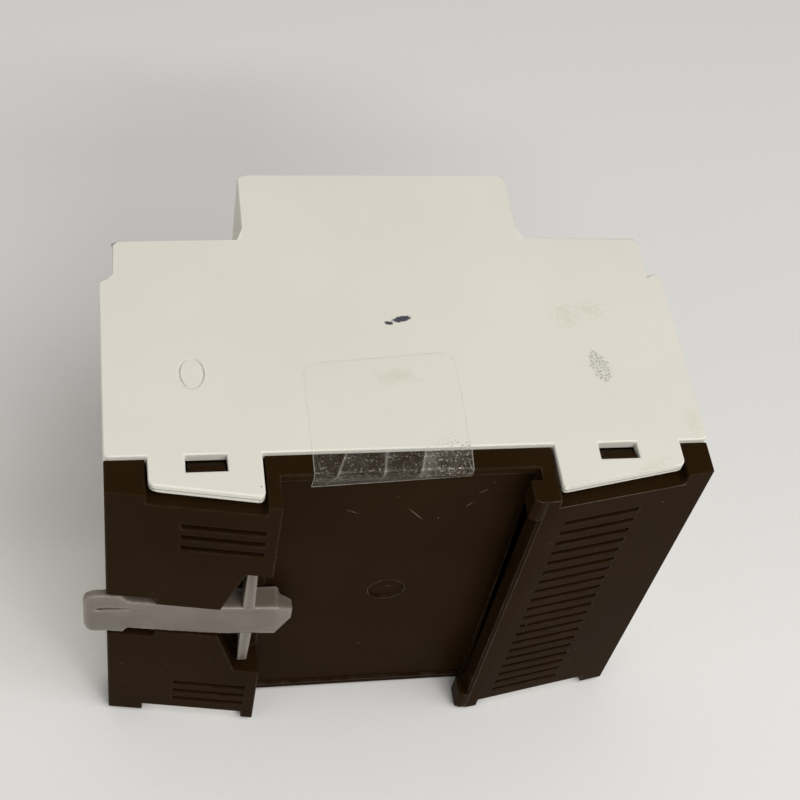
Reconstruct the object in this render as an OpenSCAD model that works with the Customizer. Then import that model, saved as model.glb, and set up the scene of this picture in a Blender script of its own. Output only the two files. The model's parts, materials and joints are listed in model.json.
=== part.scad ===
// Compact DIN-rail control module, lying on one side panel.
// +Z runs along the rail, the front faces -Y, the rail side faces +Y and +X is the clip side.
// The rail's seat plane is y = 0 and its centre line is x = 0.

/* [Housing] */
// Height of the module across the rail
body_h = 90; // [86:1:112]
// Width of the module along the rail
module_w = 72; // [70:1:90]
// Height of the raised front
front_h = 45; // [44:1:52]
// Front plane in front of the rail seat
front_depth = 57.7; // [55:0.1:70]
// Terminal shoulders in front of the rail seat
shoulder_depth = 43.8; // [41:0.1:47]
// Outer ledge in front of the rail seat
ledge_depth = 36; // [34:0.1:38]
// How far the shoulders stand back from the outer ledge
ledge_inset = 2.2; // [1:0.1:3]
// Joint between cover and base, in front of the rail seat
joint_depth = 3.6; // [3:0.1:4]
// Wall of the front cover
cover_wall = 1.8; // [1.4:0.1:2]
// Wall of the rear base
base_wall = 1.5; // [1.2:0.1:1.8]

/* [Rail side] */
// Wall of the channel on the clip side, from the rail's centre line
channel_clip_x = 20.2; // [19.6:0.1:21]
// Depth of the hook's undercut, from the rail's centre line
hook_x = 18.3; // [17.8:0.1:18.6]
// Tip of the hook, from the rail's centre line
hook_tip_x = 16.4; // [16:0.1:16.8]
// Height of the undercut that takes the rail's edge
hook_gap = 2.1; // [2.1:0.1:2.3]
// How far the base's blocks stand behind the seat at the channel
block_rise = 5.6; // [5:0.1:6.4]
// How far the base's blocks stand behind the seat at the outer ends
block_end_rise = 1.7; // [1.5:0.1:2]
// Spacing of the vent slots
vent_pitch = 3.02; // [2.8:0.01:3.2]
// Height of one vent slot
vent_slot = 1.3; // [1:0.1:1.5]
// Number of vent slots in the long row
vent_count = 20; // [8:2:20]

/* [Rail clip] */
// Width of the clip's bar
clip_w = 8.6; // [7.6:0.1:9]
// Width of the clip's pull tab
clip_tab_w = 11.6; // [10.6:0.1:12]
// How far the pull tab stands out of the housing
clip_reach = 3.6; // [3:0.1:5]
// Travel of the clip
clip_travel = 3.4; // [3:0.1:3.4]
// Length of the spring bar that is moulded on the clip
spring_len = 30; // [27:0.5:31]

/* [Terminals] */
// Spacing of the terminal poles
pole_pitch = 5.2; // [5.08:0.02:5.3]
// Number of terminal poles on each side
pole_count = 12; // [6:1:12]
// Diameter of the screw access holes
screw_hole_d = 3.9; // [3.8:0.05:4]
// Diameter of the terminal screws' heads
screw_head_d = 3.5; // [3.2:0.1:3.6]

/* [Front] */
// Length of the status window along the rail
window_len = 56; // [50:1:58]
// Height of the status window
window_h = 11; // [9:0.5:12]
// Length of the port flap along the rail
flap_len = 23.4; // [21:0.1:24]
// Height of the port flap
flap_h = 16.4; // [15:0.1:17]
// Diameter of the reset button
button_d = 5; // [4:0.1:5.4]
// Number of status lamps
lamp_count = 12; // [6:1:12]

/* [Hidden] */

$fn = 48;
cut = 0.5;                      // how far a cutter runs past a face
fit = 0.15;                     // gap between pieces that slide into each other
run_gap = 0.3;                  // gap around pieces that move

// housing
half_h = body_h / 2;
half_front = front_h / 2;
shoulder_x = half_h - ledge_inset;
mid_z = module_w / 2;
rear_mid_z = mid_z - 0.9;       // middle of the clip slot, the gate mark and the vents
side_gap = 0.8;                 // the base's ends lie this far inside the side panels
base_lo = side_gap;
base_hi = module_w - side_gap;
tab_floor = 3;                  // recess for the cover's tabs, measured from the side panel
floor_y = -0.4;                 // channel floor, a little below the seat rims
floor_t = 1.6;
tongue_len = 5.4;               // the base's rim inside the cover

// tabs of the side panels, [inner x, outer x, inner rear y, outer rear y]
tab_clip = [22.6, 38.9, 3.9, 1.15];
tab_hook = [-20.8, -40.4, 4.16, 0.75];
tab_side_gap = 0.35;
latch_x = [27.6, 33.6];
latch_y = [-joint_depth, -0.7];
latch_gap = 0.3;
latch_top = 0.5;                // latch tip below the side panel's outer face

// rear blocks
block_slope_clip = (block_rise - block_end_rise) / (half_h - channel_clip_x);
block_slope_hook = (block_rise + 0.3 - block_end_rise) / (half_h - 20.4);
function rear_clip(x) = block_end_rise + (half_h - x) * block_slope_clip;
function rear_hook(x) = block_end_rise + (half_h - abs(x)) * block_slope_hook;
hook_root_x = 20.4;
hook_mid_tip_x = hook_tip_x + 1.5;
hook_end_len = 5.2;             // length of the two full hook teeth
hook_crest = block_rise + 0.5;

// clip slot in the rear face, as half widths about rear_mid_z
slot_outer = clip_tab_w / 2 + 0.6;
slot_outer_x = half_h - 7.5;
slot_inner = clip_w / 2 + run_gap;
slot_flare_x = 27.5;
notch_x = 24.2;
notch_half = spring_len / 2 + 1.4;
guide_floor_y = 0.1;
guide_t = 1.4;

// clip
clip_tip_x = 15.8;
clip_seat_x = 18;
clip_lip_y = 1.3;
clip_back = 4.5;
spring_t = 2;
spring_x = 22;
wing_w = 1.6;
wing_t = 1.5;
wing_x = [28.6, 33.2];
wing_room_x = [26.2, wing_x[1] + clip_travel + run_gap];
slit_x = [slot_outer_x - 1, half_h + 1.7];

// vents
vent_hook_x = [22.5, 34.7];
vent_clip_x = [22, 34.2];
vent_side_count = 3;
vent_first = rear_mid_z - (vent_count - 1) * vent_pitch / 2;

// boards, y of their rear and front faces
board_t = 1.6;
io_rear_y = -12.4;
io_y = io_rear_y - board_t;
main_y = -(front_depth - 9.7);
main_rear_y = main_y + board_t;
post_x = 16;
post_z = [10, module_w - 10];
post_d = 5;
screw_d = 2.5;
screw_bore = 2.6;

// terminals
pin_room = 1.1;                 // square passages for the terminal pins
pole_z0 = mid_z - (pole_count - 1) * pole_pitch / 2;
screw_x = shoulder_x - 5.6;
wire_y = -(shoulder_depth - 4.9);
wire_size = 3.4;
block_in = 10;                  // the block's depth across the shoulder
block_outer_x = shoulder_x - cover_wall - fit;
block_front_y = -(shoulder_depth - cover_wall - fit);
block_rear_y = block_front_y + 17;
cage_x = 6;
cage_w = 4.1;
cage_front_y = wire_y - 2.6;
cage_rear_y = wire_y + 2.3;
head_t = 1.5;
head_front_y = -(shoulder_depth - 0.7);

// front
skin_y = -front_depth;
overlay_t = 0.3;
window_x = -11.5;
window_t = 1.2;
window_ledge = 1.2;
flap_x = [2.3, 2.3 + flap_h];
flap_z0 = module_w - 6.3 - flap_len;
flap_t = 1.4;
flap_barrel_r = 1;
flap_axis = [flap_x[1] - flap_barrel_r, skin_y + flap_barrel_r];
peg_r = 0.75;
peg_gap = 0.05;
peg_len = 1;
well_wall = 1.3;
well_depth = 5.6;
port_mid = [9, flap_z0 + flap_len / 2];
port_size = [8, 14];
port_front_y = skin_y + 2.4;
port_wall = 1;
port_floor = 1.2;
switch_pos = [9, 21];
switch_knob = [3, 3.2];
switch_travel = 1.5;
switch_body_size = [6, 10];
switch_body_h = 3.6;
button_pos = [9, 34];
button_gap = 0.2;
button_travel = 0.5;
reset_body_h = 2.4;
reset_plunger_h = 3.2;
lamp_pitch = 4.2;
lamp_z0 = mid_z - (lamp_count - 1) * lamp_pitch / 2;
pipe_d = 2.2;
led_t = 1.2;

// parts on the boards
cell_pos = [7.5, 53];
cell_h = 3.2;
cell_floor = 1;
core_x = [-24, -8];
core_z = [17, 37];
core_h = 15;
core_yoke = 2;
winding_z = [core_z[0] + 4, core_z[1] - 4];

// one box from its two corners
module box(a, b) {
    translate(a) cube(b - a);
}

// a cylinder from y to y - h, towards the front
module front_rod(x, y, z, d, h) {
    translate([x, y, z]) rotate([90, 0, 0]) cylinder(d = d, h = h);
}

// the stepped outline of the housing, drawn in by t
module housing_outline(t) {
    hx = half_h - t;
    sx = shoulder_x - t;
    fx = half_front - t;
    polygon([[-hx, -joint_depth + t], [-hx, -ledge_depth + t], [-sx, -ledge_depth + t],
             [-sx, -shoulder_depth + t], [-fx, -shoulder_depth + t], [-fx, -front_depth + t],
             [fx, -front_depth + t], [fx, -shoulder_depth + t], [sx, -shoulder_depth + t],
             [sx, -ledge_depth + t], [hx, -ledge_depth + t], [hx, -joint_depth + t]]);
}

module tab_outline(tab) {
    polygon([[tab[0], -joint_depth - cut], [tab[0], tab[2]], [tab[1], tab[3]],
             [tab[1], -joint_depth - cut]]);
}

// places its children at both side panels, the second one mirrored
module both_sides() {
    children();
    translate([0, 0, module_w]) mirror([0, 0, 1]) children();
}

// places its children at both terminal rows, the upper one mirrored
module at_row(upper) {
    if (upper) mirror([1, 0, 0]) children();
    else children();
}

function pole_z(i) = pole_z0 + i * pole_pitch;

module wire_entries() {
    for (i = [0 : pole_count - 1])
        box([shoulder_x - cover_wall - cut, wire_y - wire_size / 2, pole_z(i) - wire_size / 2],
            [shoulder_x + cut, wire_y + wire_size / 2, pole_z(i) + wire_size / 2]);
}

module screw_holes() {
    for (i = [0 : pole_count - 1])
        front_rod(screw_x, -shoulder_depth + cover_wall + cut, pole_z(i),
                  screw_hole_d, cover_wall + 2 * cut);
}

// opening of the port flap, with its own walls behind the front
module flap_well() {
    box([flap_x[0] - run_gap - well_wall, skin_y + cover_wall - 0.1,
         flap_z0 - run_gap - well_wall],
        [flap_x[1] + run_gap + well_wall, skin_y + well_depth,
         flap_z0 + flap_len + run_gap + well_wall]);
}

module flap_opening() {
    box([flap_x[0] - run_gap, skin_y - cut, flap_z0 - run_gap],
        [flap_x[1] + run_gap, skin_y + well_depth + cut, flap_z0 + flap_len + run_gap]);
    translate([flap_axis[0], flap_axis[1], flap_z0 - run_gap - peg_len - 0.1])
        cylinder(r = peg_r + peg_gap, h = flap_len + 2 * (run_gap + peg_len + 0.1));
}

// ledge that the flap's free edge rests on
module flap_rest() {
    box([flap_x[0] - run_gap - 0.2, skin_y + flap_t + 0.2, port_mid[1] - 4],
        [flap_x[0] + 0.9, skin_y + flap_t + 1.6, port_mid[1] + 4]);
}

module window_opening() {
    half = [window_h / 2, window_len / 2];
    box([window_x - half[0], skin_y - cut, mid_z - half[1]],
        [window_x + half[0], skin_y + window_t, mid_z + half[1]]);
    box([window_x - half[0] + window_ledge, skin_y - cut, mid_z - half[1] + window_ledge],
        [window_x + half[0] - window_ledge, skin_y + cover_wall + cut,
         mid_z + half[1] - window_ledge]);
}

module switch_opening() {
    reach = switch_knob[1] / 2 + switch_travel + run_gap;
    box([switch_pos[0] - switch_knob[0] / 2 - run_gap, skin_y - cut, switch_pos[1] - reach],
        [switch_pos[0] + switch_knob[0] / 2 + run_gap, skin_y + cover_wall + cut,
         switch_pos[1] + reach]);
}

module button_opening() {
    front_rod(button_pos[0], skin_y + cover_wall + cut, button_pos[1],
              button_d + 2 * button_gap, cover_wall + 2 * cut);
}

module front_cover() {
    color([0.88, 0.87, 0.83])
    union() {
        difference() {
            union() {
                difference() {
                    linear_extrude(module_w) housing_outline(0);
                    translate([0, 0, cover_wall])
                        linear_extrude(module_w - 2 * cover_wall) {
                            housing_outline(cover_wall);
                            translate([0, -joint_depth + cover_wall / 2])
                                square([2 * (half_h - cover_wall), 3 * cover_wall],
                                       center = true);
                        }
                }
                flap_well();
                both_sides() linear_extrude(cover_wall) {
                    tab_outline(tab_clip);
                    tab_outline(tab_hook);
                }
            }
            both_sides() {
                box([latch_x[0], latch_y[0], -cut], [latch_x[1], latch_y[1], cover_wall + cut]);
                box([-latch_x[1], latch_y[0], -cut], [-latch_x[0], latch_y[1], cover_wall + cut]);
            }
            at_row(false) wire_entries();
            at_row(true) wire_entries();
            at_row(false) screw_holes();
            at_row(true) screw_holes();
            flap_opening();
            window_opening();
            switch_opening();
            button_opening();
        }
        flap_rest();
    }
}

// rear faces, channel and hook, drawn across the rail
module base_outline() {
    polygon([[half_h, -joint_depth], [half_h, rear_clip(half_h)],
             [channel_clip_x, rear_clip(channel_clip_x)], [channel_clip_x, floor_y],
             [-hook_x, floor_y], [-hook_x, hook_gap], [-hook_mid_tip_x, hook_gap],
             [-hook_mid_tip_x, hook_crest - 0.4], [-hook_mid_tip_x - 0.5, hook_crest],
             [-hook_root_x, rear_hook(hook_root_x)], [-half_h, rear_hook(half_h)],
             [-half_h, -joint_depth]]);
}

module hook_tooth() {
    linear_extrude(hook_end_len)
        polygon([[-hook_mid_tip_x - 0.3, hook_gap], [-hook_tip_x, hook_gap],
                 [-hook_tip_x, hook_crest - 0.45], [-hook_tip_x - 0.9, hook_crest],
                 [-hook_mid_tip_x - 0.3, hook_crest - 0.1]]);
}

// hollow behind one rear block, open to the front
module block_hollow_clip() {
    translate([0, 0, tab_floor + base_wall])
        linear_extrude(module_w - 2 * (tab_floor + base_wall))
            polygon([[channel_clip_x + base_wall, -joint_depth - cut],
                     [channel_clip_x + base_wall, rear_clip(channel_clip_x) - base_wall - 0.3],
                     [half_h - base_wall, rear_clip(half_h) - base_wall],
                     [half_h - base_wall, -joint_depth - cut]]);
}

module block_hollow_hook() {
    translate([0, 0, tab_floor + base_wall])
        linear_extrude(module_w - 2 * (tab_floor + base_wall))
            polygon([[-hook_root_x - 0.4, -joint_depth - cut],
                     [-hook_root_x - 0.4, rear_hook(hook_root_x) - base_wall - 0.3],
                     [-half_h + base_wall, rear_hook(half_h) - base_wall],
                     [-half_h + base_wall, -joint_depth - cut]]);
}

// the guide that the clip runs in, seen across the rear face
module clip_guide_outline(grow) {
    polygon([[channel_clip_x - cut, -notch_half - grow], [notch_x + grow, -notch_half - grow],
             [slot_flare_x + grow, -slot_outer - grow], [half_h + cut, -slot_outer - grow],
             [half_h + cut, slot_outer + grow], [slot_flare_x + grow, slot_outer + grow],
             [notch_x + grow, notch_half + grow], [channel_clip_x - cut, notch_half + grow]]);
}

module clip_slot_outline() {
    polygon([[channel_clip_x - cut, -notch_half], [notch_x, -notch_half],
             [slot_flare_x, -slot_inner], [slot_outer_x, -slot_inner],
             [slot_outer_x, -slot_outer], [half_h + cut, -slot_outer],
             [half_h + cut, slot_outer], [slot_outer_x, slot_outer],
             [slot_outer_x, slot_inner], [slot_flare_x, slot_inner],
             [notch_x, notch_half], [channel_clip_x - cut, notch_half]]);
}

// stands an outline in x and z on the plane y0 and extrudes it by h towards +Y
module rear_extrude(y0, h) {
    translate([0, y0, rear_mid_z]) rotate([-90, 0, 0]) linear_extrude(h) mirror([0, 1]) children();
}

module clip_guide_body() {
    intersection() {
        rear_extrude(guide_floor_y - guide_t, block_rise + guide_t)
            clip_guide_outline(guide_t);
        translate([0, 0, base_lo]) linear_extrude(base_hi - base_lo) base_outline();
    }
}

// room under the rear skin for the clip's bar and its wings
module clip_guide_room() {
    wing_half = clip_w / 2 + wing_w + run_gap;
    rear_extrude(guide_floor_y, block_rise + cut) clip_slot_outline();
    rear_extrude(guide_floor_y, wing_t + 0.2 + run_gap)
        translate([wing_room_x[0], -wing_half])
            square([wing_room_x[1] - wing_room_x[0], 2 * wing_half]);
}

module vent_slots(x_range, sign, list) {
    for (i = list)
        box([min(sign * x_range[0], sign * x_range[1]), -1,
             vent_first + i * vent_pitch - vent_slot / 2],
            [max(sign * x_range[0], sign * x_range[1]), block_rise + 1,
             vent_first + i * vent_pitch + vent_slot / 2]);
}

// latch that snaps into a window of the side panel, thickest at its rear end
module latch(x0, x1) {
    translate([x0 + latch_gap, 0, 0]) rotate([0, 90, 0])
        linear_extrude(x1 - x0 - 2 * latch_gap)
            polygon([[-tab_floor - 0.2, latch_y[0] + 0.2], [-cover_wall + 0.1, latch_y[0] + 0.2],
                     [-latch_top, latch_y[1] - 1.1], [-latch_top, latch_y[1] - latch_gap],
                     [-tab_floor - 0.2, latch_y[1] - latch_gap]]);
}

// recess of one tab, measured from the side panel
module tab_recess(tab, sign) {
    inner = min(tab[0] - sign * tab_side_gap, tab[1] + sign * tab_side_gap);
    outer = max(tab[0] - sign * tab_side_gap, tab[1] + sign * tab_side_gap);
    box([inner, -joint_depth - tongue_len - cut, -cut], [outer, block_rise + 1, tab_floor]);
}

module recess_ribs() {
    rib_t = 1;
    rib_rear_y = 0.6;
    for (x = [25.2, 36.3, -24, -37])
        box([x - rib_t / 2, -joint_depth, cover_wall + fit],
            [x + rib_t / 2, rib_rear_y, tab_floor + 0.1]);
}

module board_standoffs() {
    for (x = [-post_x, post_x], z = post_z)
        front_rod(x, floor_y - floor_t + 0.1, z, post_d + 1.4,
                  -io_rear_y + floor_y - floor_t + 0.1);
}

module standoff_bores() {
    for (x = [-post_x, post_x], z = post_z)
        front_rod(x, floor_y - floor_t - 2, z, screw_bore, 12);
}

// shallow round pocket where the base was filled, with a broken sprue in its middle
module gate_mark() {
    pocket = [6, 0.4];
    sprue_d = 1.2;
    difference() {
        front_rod(0, floor_y + cut, rear_mid_z, pocket[0], pocket[1] + cut);
        front_rod(0, floor_y - 0.1, rear_mid_z, sprue_d, cut);
    }
}

module rear_base() {
    tongue_x = half_h - cover_wall - fit;
    tongue_z = cover_wall + fit;
    room_x = tongue_x - base_wall;
    room_z = tongue_z + base_wall;
    color([0.07, 0.07, 0.07])
    difference() {
        union() {
            difference() {
                union() {
                    translate([0, 0, base_lo]) linear_extrude(base_hi - base_lo) base_outline();
                    box([-tongue_x, -joint_depth - tongue_len, tongue_z],
                        [tongue_x, -joint_depth + 0.1, module_w - tongue_z]);
                    for (z = [base_lo, base_hi - hook_end_len])
                        translate([0, 0, z]) hook_tooth();
                    for (z = [base_lo, base_hi - base_wall])
                        box([-hook_x, floor_y - 0.1, z], [channel_clip_x, 0, z + base_wall]);
                }
                both_sides() {
                    tab_recess(tab_clip, 1);
                    tab_recess(tab_hook, -1);
                }
                box([-room_x, -joint_depth - tongue_len - cut, room_z],
                    [room_x, -joint_depth, module_w - room_z]);
                box([-hook_root_x + 1, -joint_depth - cut, tab_floor + base_wall],
                    [channel_clip_x, floor_y - floor_t, module_w - tab_floor - base_wall]);
                block_hollow_clip();
                block_hollow_hook();
            }
            clip_guide_body();
            board_standoffs();
            both_sides() {
                latch(latch_x[0], latch_x[1]);
                latch(-latch_x[1], -latch_x[0]);
                recess_ribs();
            }
        }
        clip_guide_room();
        standoff_bores();
        vent_slots(vent_hook_x, -1, [0 : vent_count - 1]);
        vent_slots(vent_clip_x, 1, [0 : vent_side_count - 1]);
        vent_slots(vent_clip_x, 1, [vent_count - vent_side_count : vent_count - 1]);
        gate_mark();
    }
}

// the clip's side view: a head with a ramp, a bar that follows the rear face, a pull tab
module clip_profile() {
    out_x = half_h + clip_reach;
    polygon([[clip_tip_x, clip_lip_y], [clip_seat_x, clip_lip_y], [clip_seat_x, guide_floor_y + fit],
             [slot_outer_x, guide_floor_y + fit], [out_x - 0.4, guide_floor_y + fit],
             [out_x, guide_floor_y + fit + 0.4], [out_x, block_end_rise - 0.6],
             [out_x - 0.5, block_end_rise - 0.1], [half_h, block_end_rise],
             [slot_outer_x, rear_clip(slot_outer_x) - 0.2],
             [slot_flare_x, rear_clip(slot_flare_x) - 0.4], [notch_x, clip_back],
             [clip_seat_x + 0.6, clip_back], [clip_tip_x, clip_back - 1.3]]);
}

// the clip's plan, as half widths about rear_mid_z
module clip_plan() {
    out_x = half_h + clip_reach;
    w = clip_w / 2;
    tw = clip_tab_w / 2;
    r = 2;
    union() {
        polygon([[clip_tip_x, -1.6], [clip_tip_x + 2.6, -w], [slot_outer_x + 4.2, -w],
                 [slot_outer_x + 5, -tw], [out_x - r, -tw], [out_x - r, tw],
                 [slot_outer_x + 5, tw], [slot_outer_x + 4.2, w], [clip_tip_x + 2.6, w],
                 [clip_tip_x, 1.6]]);
        translate([out_x - r - 0.1, -tw + r]) square([r + 0.1, 2 * (tw - r)]);
        for (s = [-1, 1])
            translate([out_x - r, s * (tw - r)]) circle(r = r);
    }
}

module clip_slit() {
    rear_extrude(guide_floor_y - cut, block_rise + 2)
        polygon([[slit_x[0], 2.6], [slit_x[1], 1.7], [slit_x[1], 0.8]]);
}

module clip_wing(z) {
    half = wing_w / 2 + 0.05;
    box([wing_x[0], guide_floor_y + fit, z - half], [wing_x[1], guide_floor_y + wing_t, z + half]);
}

module rail_clip() {
    color([0.72, 0.68, 0.62])
    difference() {
        union() {
            intersection() {
                linear_extrude(module_w) clip_profile();
                rear_extrude(guide_floor_y - cut, block_rise + 2) clip_plan();
            }
            for (s = [-1, 1])
                clip_wing(rear_mid_z + s * (clip_w / 2 + wing_w / 2));
        }
        clip_slit();
    }
}

// two arms of the clip's spring bar, which bow when the clip is pulled
module clip_spring() {
    color([0.74, 0.7, 0.64])
    for (s = [-1, 1])
        rear_extrude(guide_floor_y + 1, clip_back - guide_floor_y - 1.3)
            polygon([[spring_x, s * clip_w / 2], [spring_x, s * spring_len / 2],
                     [spring_x + spring_t, s * spring_len / 2],
                     [spring_x + spring_t + 0.5, s * clip_w / 2]]);
}

// clear film, folded from the side panel over the base's rim into the channel
module seal_tape() {
    film = 0.12;
    panel_z = module_w;
    tape_x = [-8.5, 15.3];
    start_y = -19.8;
    end_z = 68.3;
    color([0.85, 0.82, 0.72, 0.5])
    translate([tape_x[0], 0, 0]) rotate([90, 0, 90]) linear_extrude(tape_x[1] - tape_x[0])
        polygon([[start_y, panel_z], [-joint_depth, panel_z], [-joint_depth, base_hi],
                 [0, base_hi], [0, base_hi - base_wall], [floor_y, base_hi - base_wall],
                 [floor_y, end_z], [floor_y + film, end_z],
                 [floor_y + film, base_hi - base_wall - film],
                 [film, base_hi - base_wall - film], [film, base_hi + film],
                 [-joint_depth + film, base_hi + film], [-joint_depth + film, panel_z + film],
                 [start_y, panel_z + film]]);
}

module front_overlay() {
    edge = 1.6;
    around = run_gap + 0.6;
    hinge_around = run_gap + 0.9;
    color([0.82, 0.83, 0.84])
    difference() {
        box([-half_front + edge, skin_y - overlay_t, edge],
            [half_front - edge, skin_y, module_w - edge]);
        window_opening();
        box([flap_x[0] - around, skin_y - overlay_t - cut, flap_z0 - around],
            [flap_x[1] + hinge_around, skin_y + cut, flap_z0 + flap_len + around]);
        switch_opening();
        button_opening();
    }
}

module status_window() {
    half = [window_h / 2 - fit, window_len / 2 - fit];
    color([0.12, 0.05, 0.05, 0.8])
    box([window_x - half[0], skin_y - overlay_t, mid_z - half[1]],
        [window_x + half[0], skin_y + window_t, mid_z + half[1]]);
}

module light_pipes() {
    color([0.9, 0.92, 0.92, 0.6])
    for (i = [0 : lamp_count - 1])
        front_rod(window_x, main_y - led_t, lamp_z0 + i * lamp_pitch, pipe_d,
                  front_depth - window_t + main_y - led_t);
}

module status_leds() {
    led = [2, 1.6];
    color([0.5, 0.8, 0.4])
    for (i = [0 : lamp_count - 1])
        translate([window_x, main_y - led_t / 2, lamp_z0 + i * lamp_pitch])
            cube([led[0], led_t, led[1]], center = true);
}

module port_flap() {
    scoop_d = 7;
    scoop_t = 0.7;
    color([0.87, 0.86, 0.82])
    difference() {
        union() {
            box([flap_x[0], skin_y, flap_z0],
                [flap_axis[0], skin_y + flap_t, flap_z0 + flap_len]);
            translate([flap_axis[0], flap_axis[1], flap_z0])
                cylinder(r = flap_barrel_r, h = flap_len);
            translate([flap_axis[0], flap_axis[1], flap_z0 - run_gap - peg_len])
                cylinder(r = peg_r, h = flap_len + 2 * (run_gap + peg_len));
        }
        // finger scoop at the free edge
        front_rod(flap_x[0], skin_y + scoop_t, port_mid[1], scoop_d, scoop_t + cut);
    }
}

module programming_port() {
    half = port_size / 2;
    key_half = 2;
    key_floor = 2.6;
    color([0.1, 0.1, 0.11])
    difference() {
        box([port_mid[0] - half[0], port_front_y, port_mid[1] - half[1]],
            [port_mid[0] + half[0], main_y, port_mid[1] + half[1]]);
        box([port_mid[0] - half[0] + port_wall, port_front_y - cut,
             port_mid[1] - half[1] + port_wall],
            [port_mid[0] + half[0] - port_wall, main_y - port_floor,
             port_mid[1] + half[1] - port_wall]);
        box([port_mid[0] - half[0] - cut, port_front_y - cut, port_mid[1] - key_half],
            [port_mid[0] - half[0] + port_wall + cut, main_y - key_floor,
             port_mid[1] + key_half]);
    }
}

module port_pins() {
    pin = 0.6;
    row = 1.27;
    pitch = 2.2;
    reach = 3.4;
    color([0.85, 0.7, 0.35])
    for (i = [-2 : 2], s = [-1, 1])
        box([port_mid[0] + s * row - pin / 2, main_y - reach, port_mid[1] + i * pitch - pin / 2],
            [port_mid[0] + s * row + pin / 2, main_y - port_floor,
             port_mid[1] + i * pitch + pin / 2]);
}

module mode_switch() {
    half = switch_knob / 2;
    foot = 0.6;
    foot_t = 1;
    foot_y = main_y - switch_body_h - run_gap;
    top_y = skin_y - overlay_t - 0.9;
    grip = [0.4, 0.3];
    grip_pitch = 0.9;
    color([0.2, 0.2, 0.21])
    difference() {
        union() {
            box([switch_pos[0] - half[0], top_y, switch_pos[1] - half[1]],
                [switch_pos[0] + half[0], foot_y, switch_pos[1] + half[1]]);
            box([switch_pos[0] - half[0] - foot, foot_y - foot_t, switch_pos[1] - half[1] - foot],
                [switch_pos[0] + half[0] + foot, foot_y, switch_pos[1] + half[1] + foot]);
        }
        for (s = [-1, 0, 1])
            box([switch_pos[0] - half[0] - cut, top_y - cut,
                 switch_pos[1] + s * grip_pitch - grip[0] / 2],
                [switch_pos[0] + half[0] + cut, top_y + grip[1],
                 switch_pos[1] + s * grip_pitch + grip[0] / 2]);
    }
}

module switch_body() {
    half = switch_body_size / 2;
    color([0.75, 0.76, 0.78])
    box([switch_pos[0] - half[0], main_y - switch_body_h, switch_pos[1] - half[1]],
        [switch_pos[0] + half[0], main_y, switch_pos[1] + half[1]]);
}

module reset_button() {
    rise = 0.6;
    flange = 0.7;
    flange_t = 0.8;
    stem_d = 2.4;
    flange_y = skin_y + cover_wall + run_gap;
    stem_y = main_y - reset_plunger_h - button_travel - 0.2;
    color([0.2, 0.35, 0.6])
    union() {
        front_rod(button_pos[0], flange_y, button_pos[1], button_d,
                  flange_y - skin_y + overlay_t + rise);
        front_rod(button_pos[0], flange_y + flange_t, button_pos[1], button_d + 2 * flange,
                  flange_t);
        front_rod(button_pos[0], stem_y, button_pos[1], stem_d, stem_y - flange_y + 0.1);
    }
}

module reset_switch() {
    half = 3;
    plunger_d = 3;
    color([0.15, 0.15, 0.16])
    union() {
        box([button_pos[0] - half, main_y - reset_body_h, button_pos[1] - half],
            [button_pos[0] + half, main_y, button_pos[1] + half]);
        front_rod(button_pos[0], main_y - reset_body_h + 0.1, button_pos[1], plunger_d,
                  reset_plunger_h - reset_body_h + 0.1);
    }
}

// one insulating block, clip side; a pocket for each cage, screw, wire and pin
module terminal_block(upper) {
    end_wall = 0.6;
    color([0.25, 0.27, 0.28])
    at_row(upper)
    difference() {
        box([block_outer_x - block_in, block_front_y, pole_z(0) - pole_pitch / 2 - end_wall],
            [block_outer_x, block_rear_y, pole_z(pole_count - 1) + pole_pitch / 2 + end_wall]);
        for (i = [0 : pole_count - 1]) {
            box([screw_x - cage_x / 2 - fit, cage_front_y - fit, pole_z(i) - cage_w / 2 - fit],
                [block_outer_x + cut, cage_rear_y + fit, pole_z(i) + cage_w / 2 + fit]);
            front_rod(screw_x, cage_front_y, pole_z(i), screw_hole_d,
                      cage_front_y - block_front_y + cut);
            box([screw_x - pin_room / 2, cage_rear_y - cut, pole_z(i) - pin_room / 2],
                [screw_x + pin_room / 2, block_rear_y + cut, pole_z(i) + pin_room / 2]);
        }
    }
}

module clamp_cages(upper) {
    wall = 0.55;
    color([0.8, 0.75, 0.55])
    at_row(upper)
    for (i = [0 : pole_count - 1])
        difference() {
            box([screw_x - cage_x / 2, cage_front_y, pole_z(i) - cage_w / 2],
                [screw_x + cage_x / 2, cage_rear_y, pole_z(i) + cage_w / 2]);
            box([screw_x - cage_x / 2 - cut, cage_front_y + 2 * wall,
                 pole_z(i) - cage_w / 2 + wall],
                [screw_x + cage_x / 2 + cut, cage_rear_y - wall,
                 pole_z(i) + cage_w / 2 - wall]);
            front_rod(screw_x, cage_front_y + 2 * wall + cut, pole_z(i), screw_bore,
                      2 * wall + 2 * cut);
        }
}

module terminal_screws(upper) {
    slot = 0.6;
    slot_depth = 0.8;
    bite = 0.4;                     // how far the thread reaches into the cage
    color([0.75, 0.76, 0.78])
    at_row(upper)
    for (i = [0 : pole_count - 1])
        difference() {
            union() {
                front_rod(screw_x, head_front_y + head_t, pole_z(i), screw_head_d, head_t);
                front_rod(screw_x, cage_front_y + 1.1 + bite, pole_z(i), screw_d,
                          cage_front_y + 1.2 + bite - head_front_y - head_t);
            }
            box([screw_x - screw_head_d, head_front_y - cut, pole_z(i) - slot / 2],
                [screw_x + screw_head_d, head_front_y + slot_depth, pole_z(i) + slot / 2]);
        }
}

module terminal_pins(upper) {
    pin = 0.8;
    solder_len = 1.4;
    color([0.8, 0.72, 0.5])
    at_row(upper)
    for (i = [0 : pole_count - 1])
        box([screw_x - pin / 2, cage_rear_y, pole_z(i) - pin / 2],
            [screw_x + pin / 2, io_rear_y + solder_len, pole_z(i) + pin / 2]);
}

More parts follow.
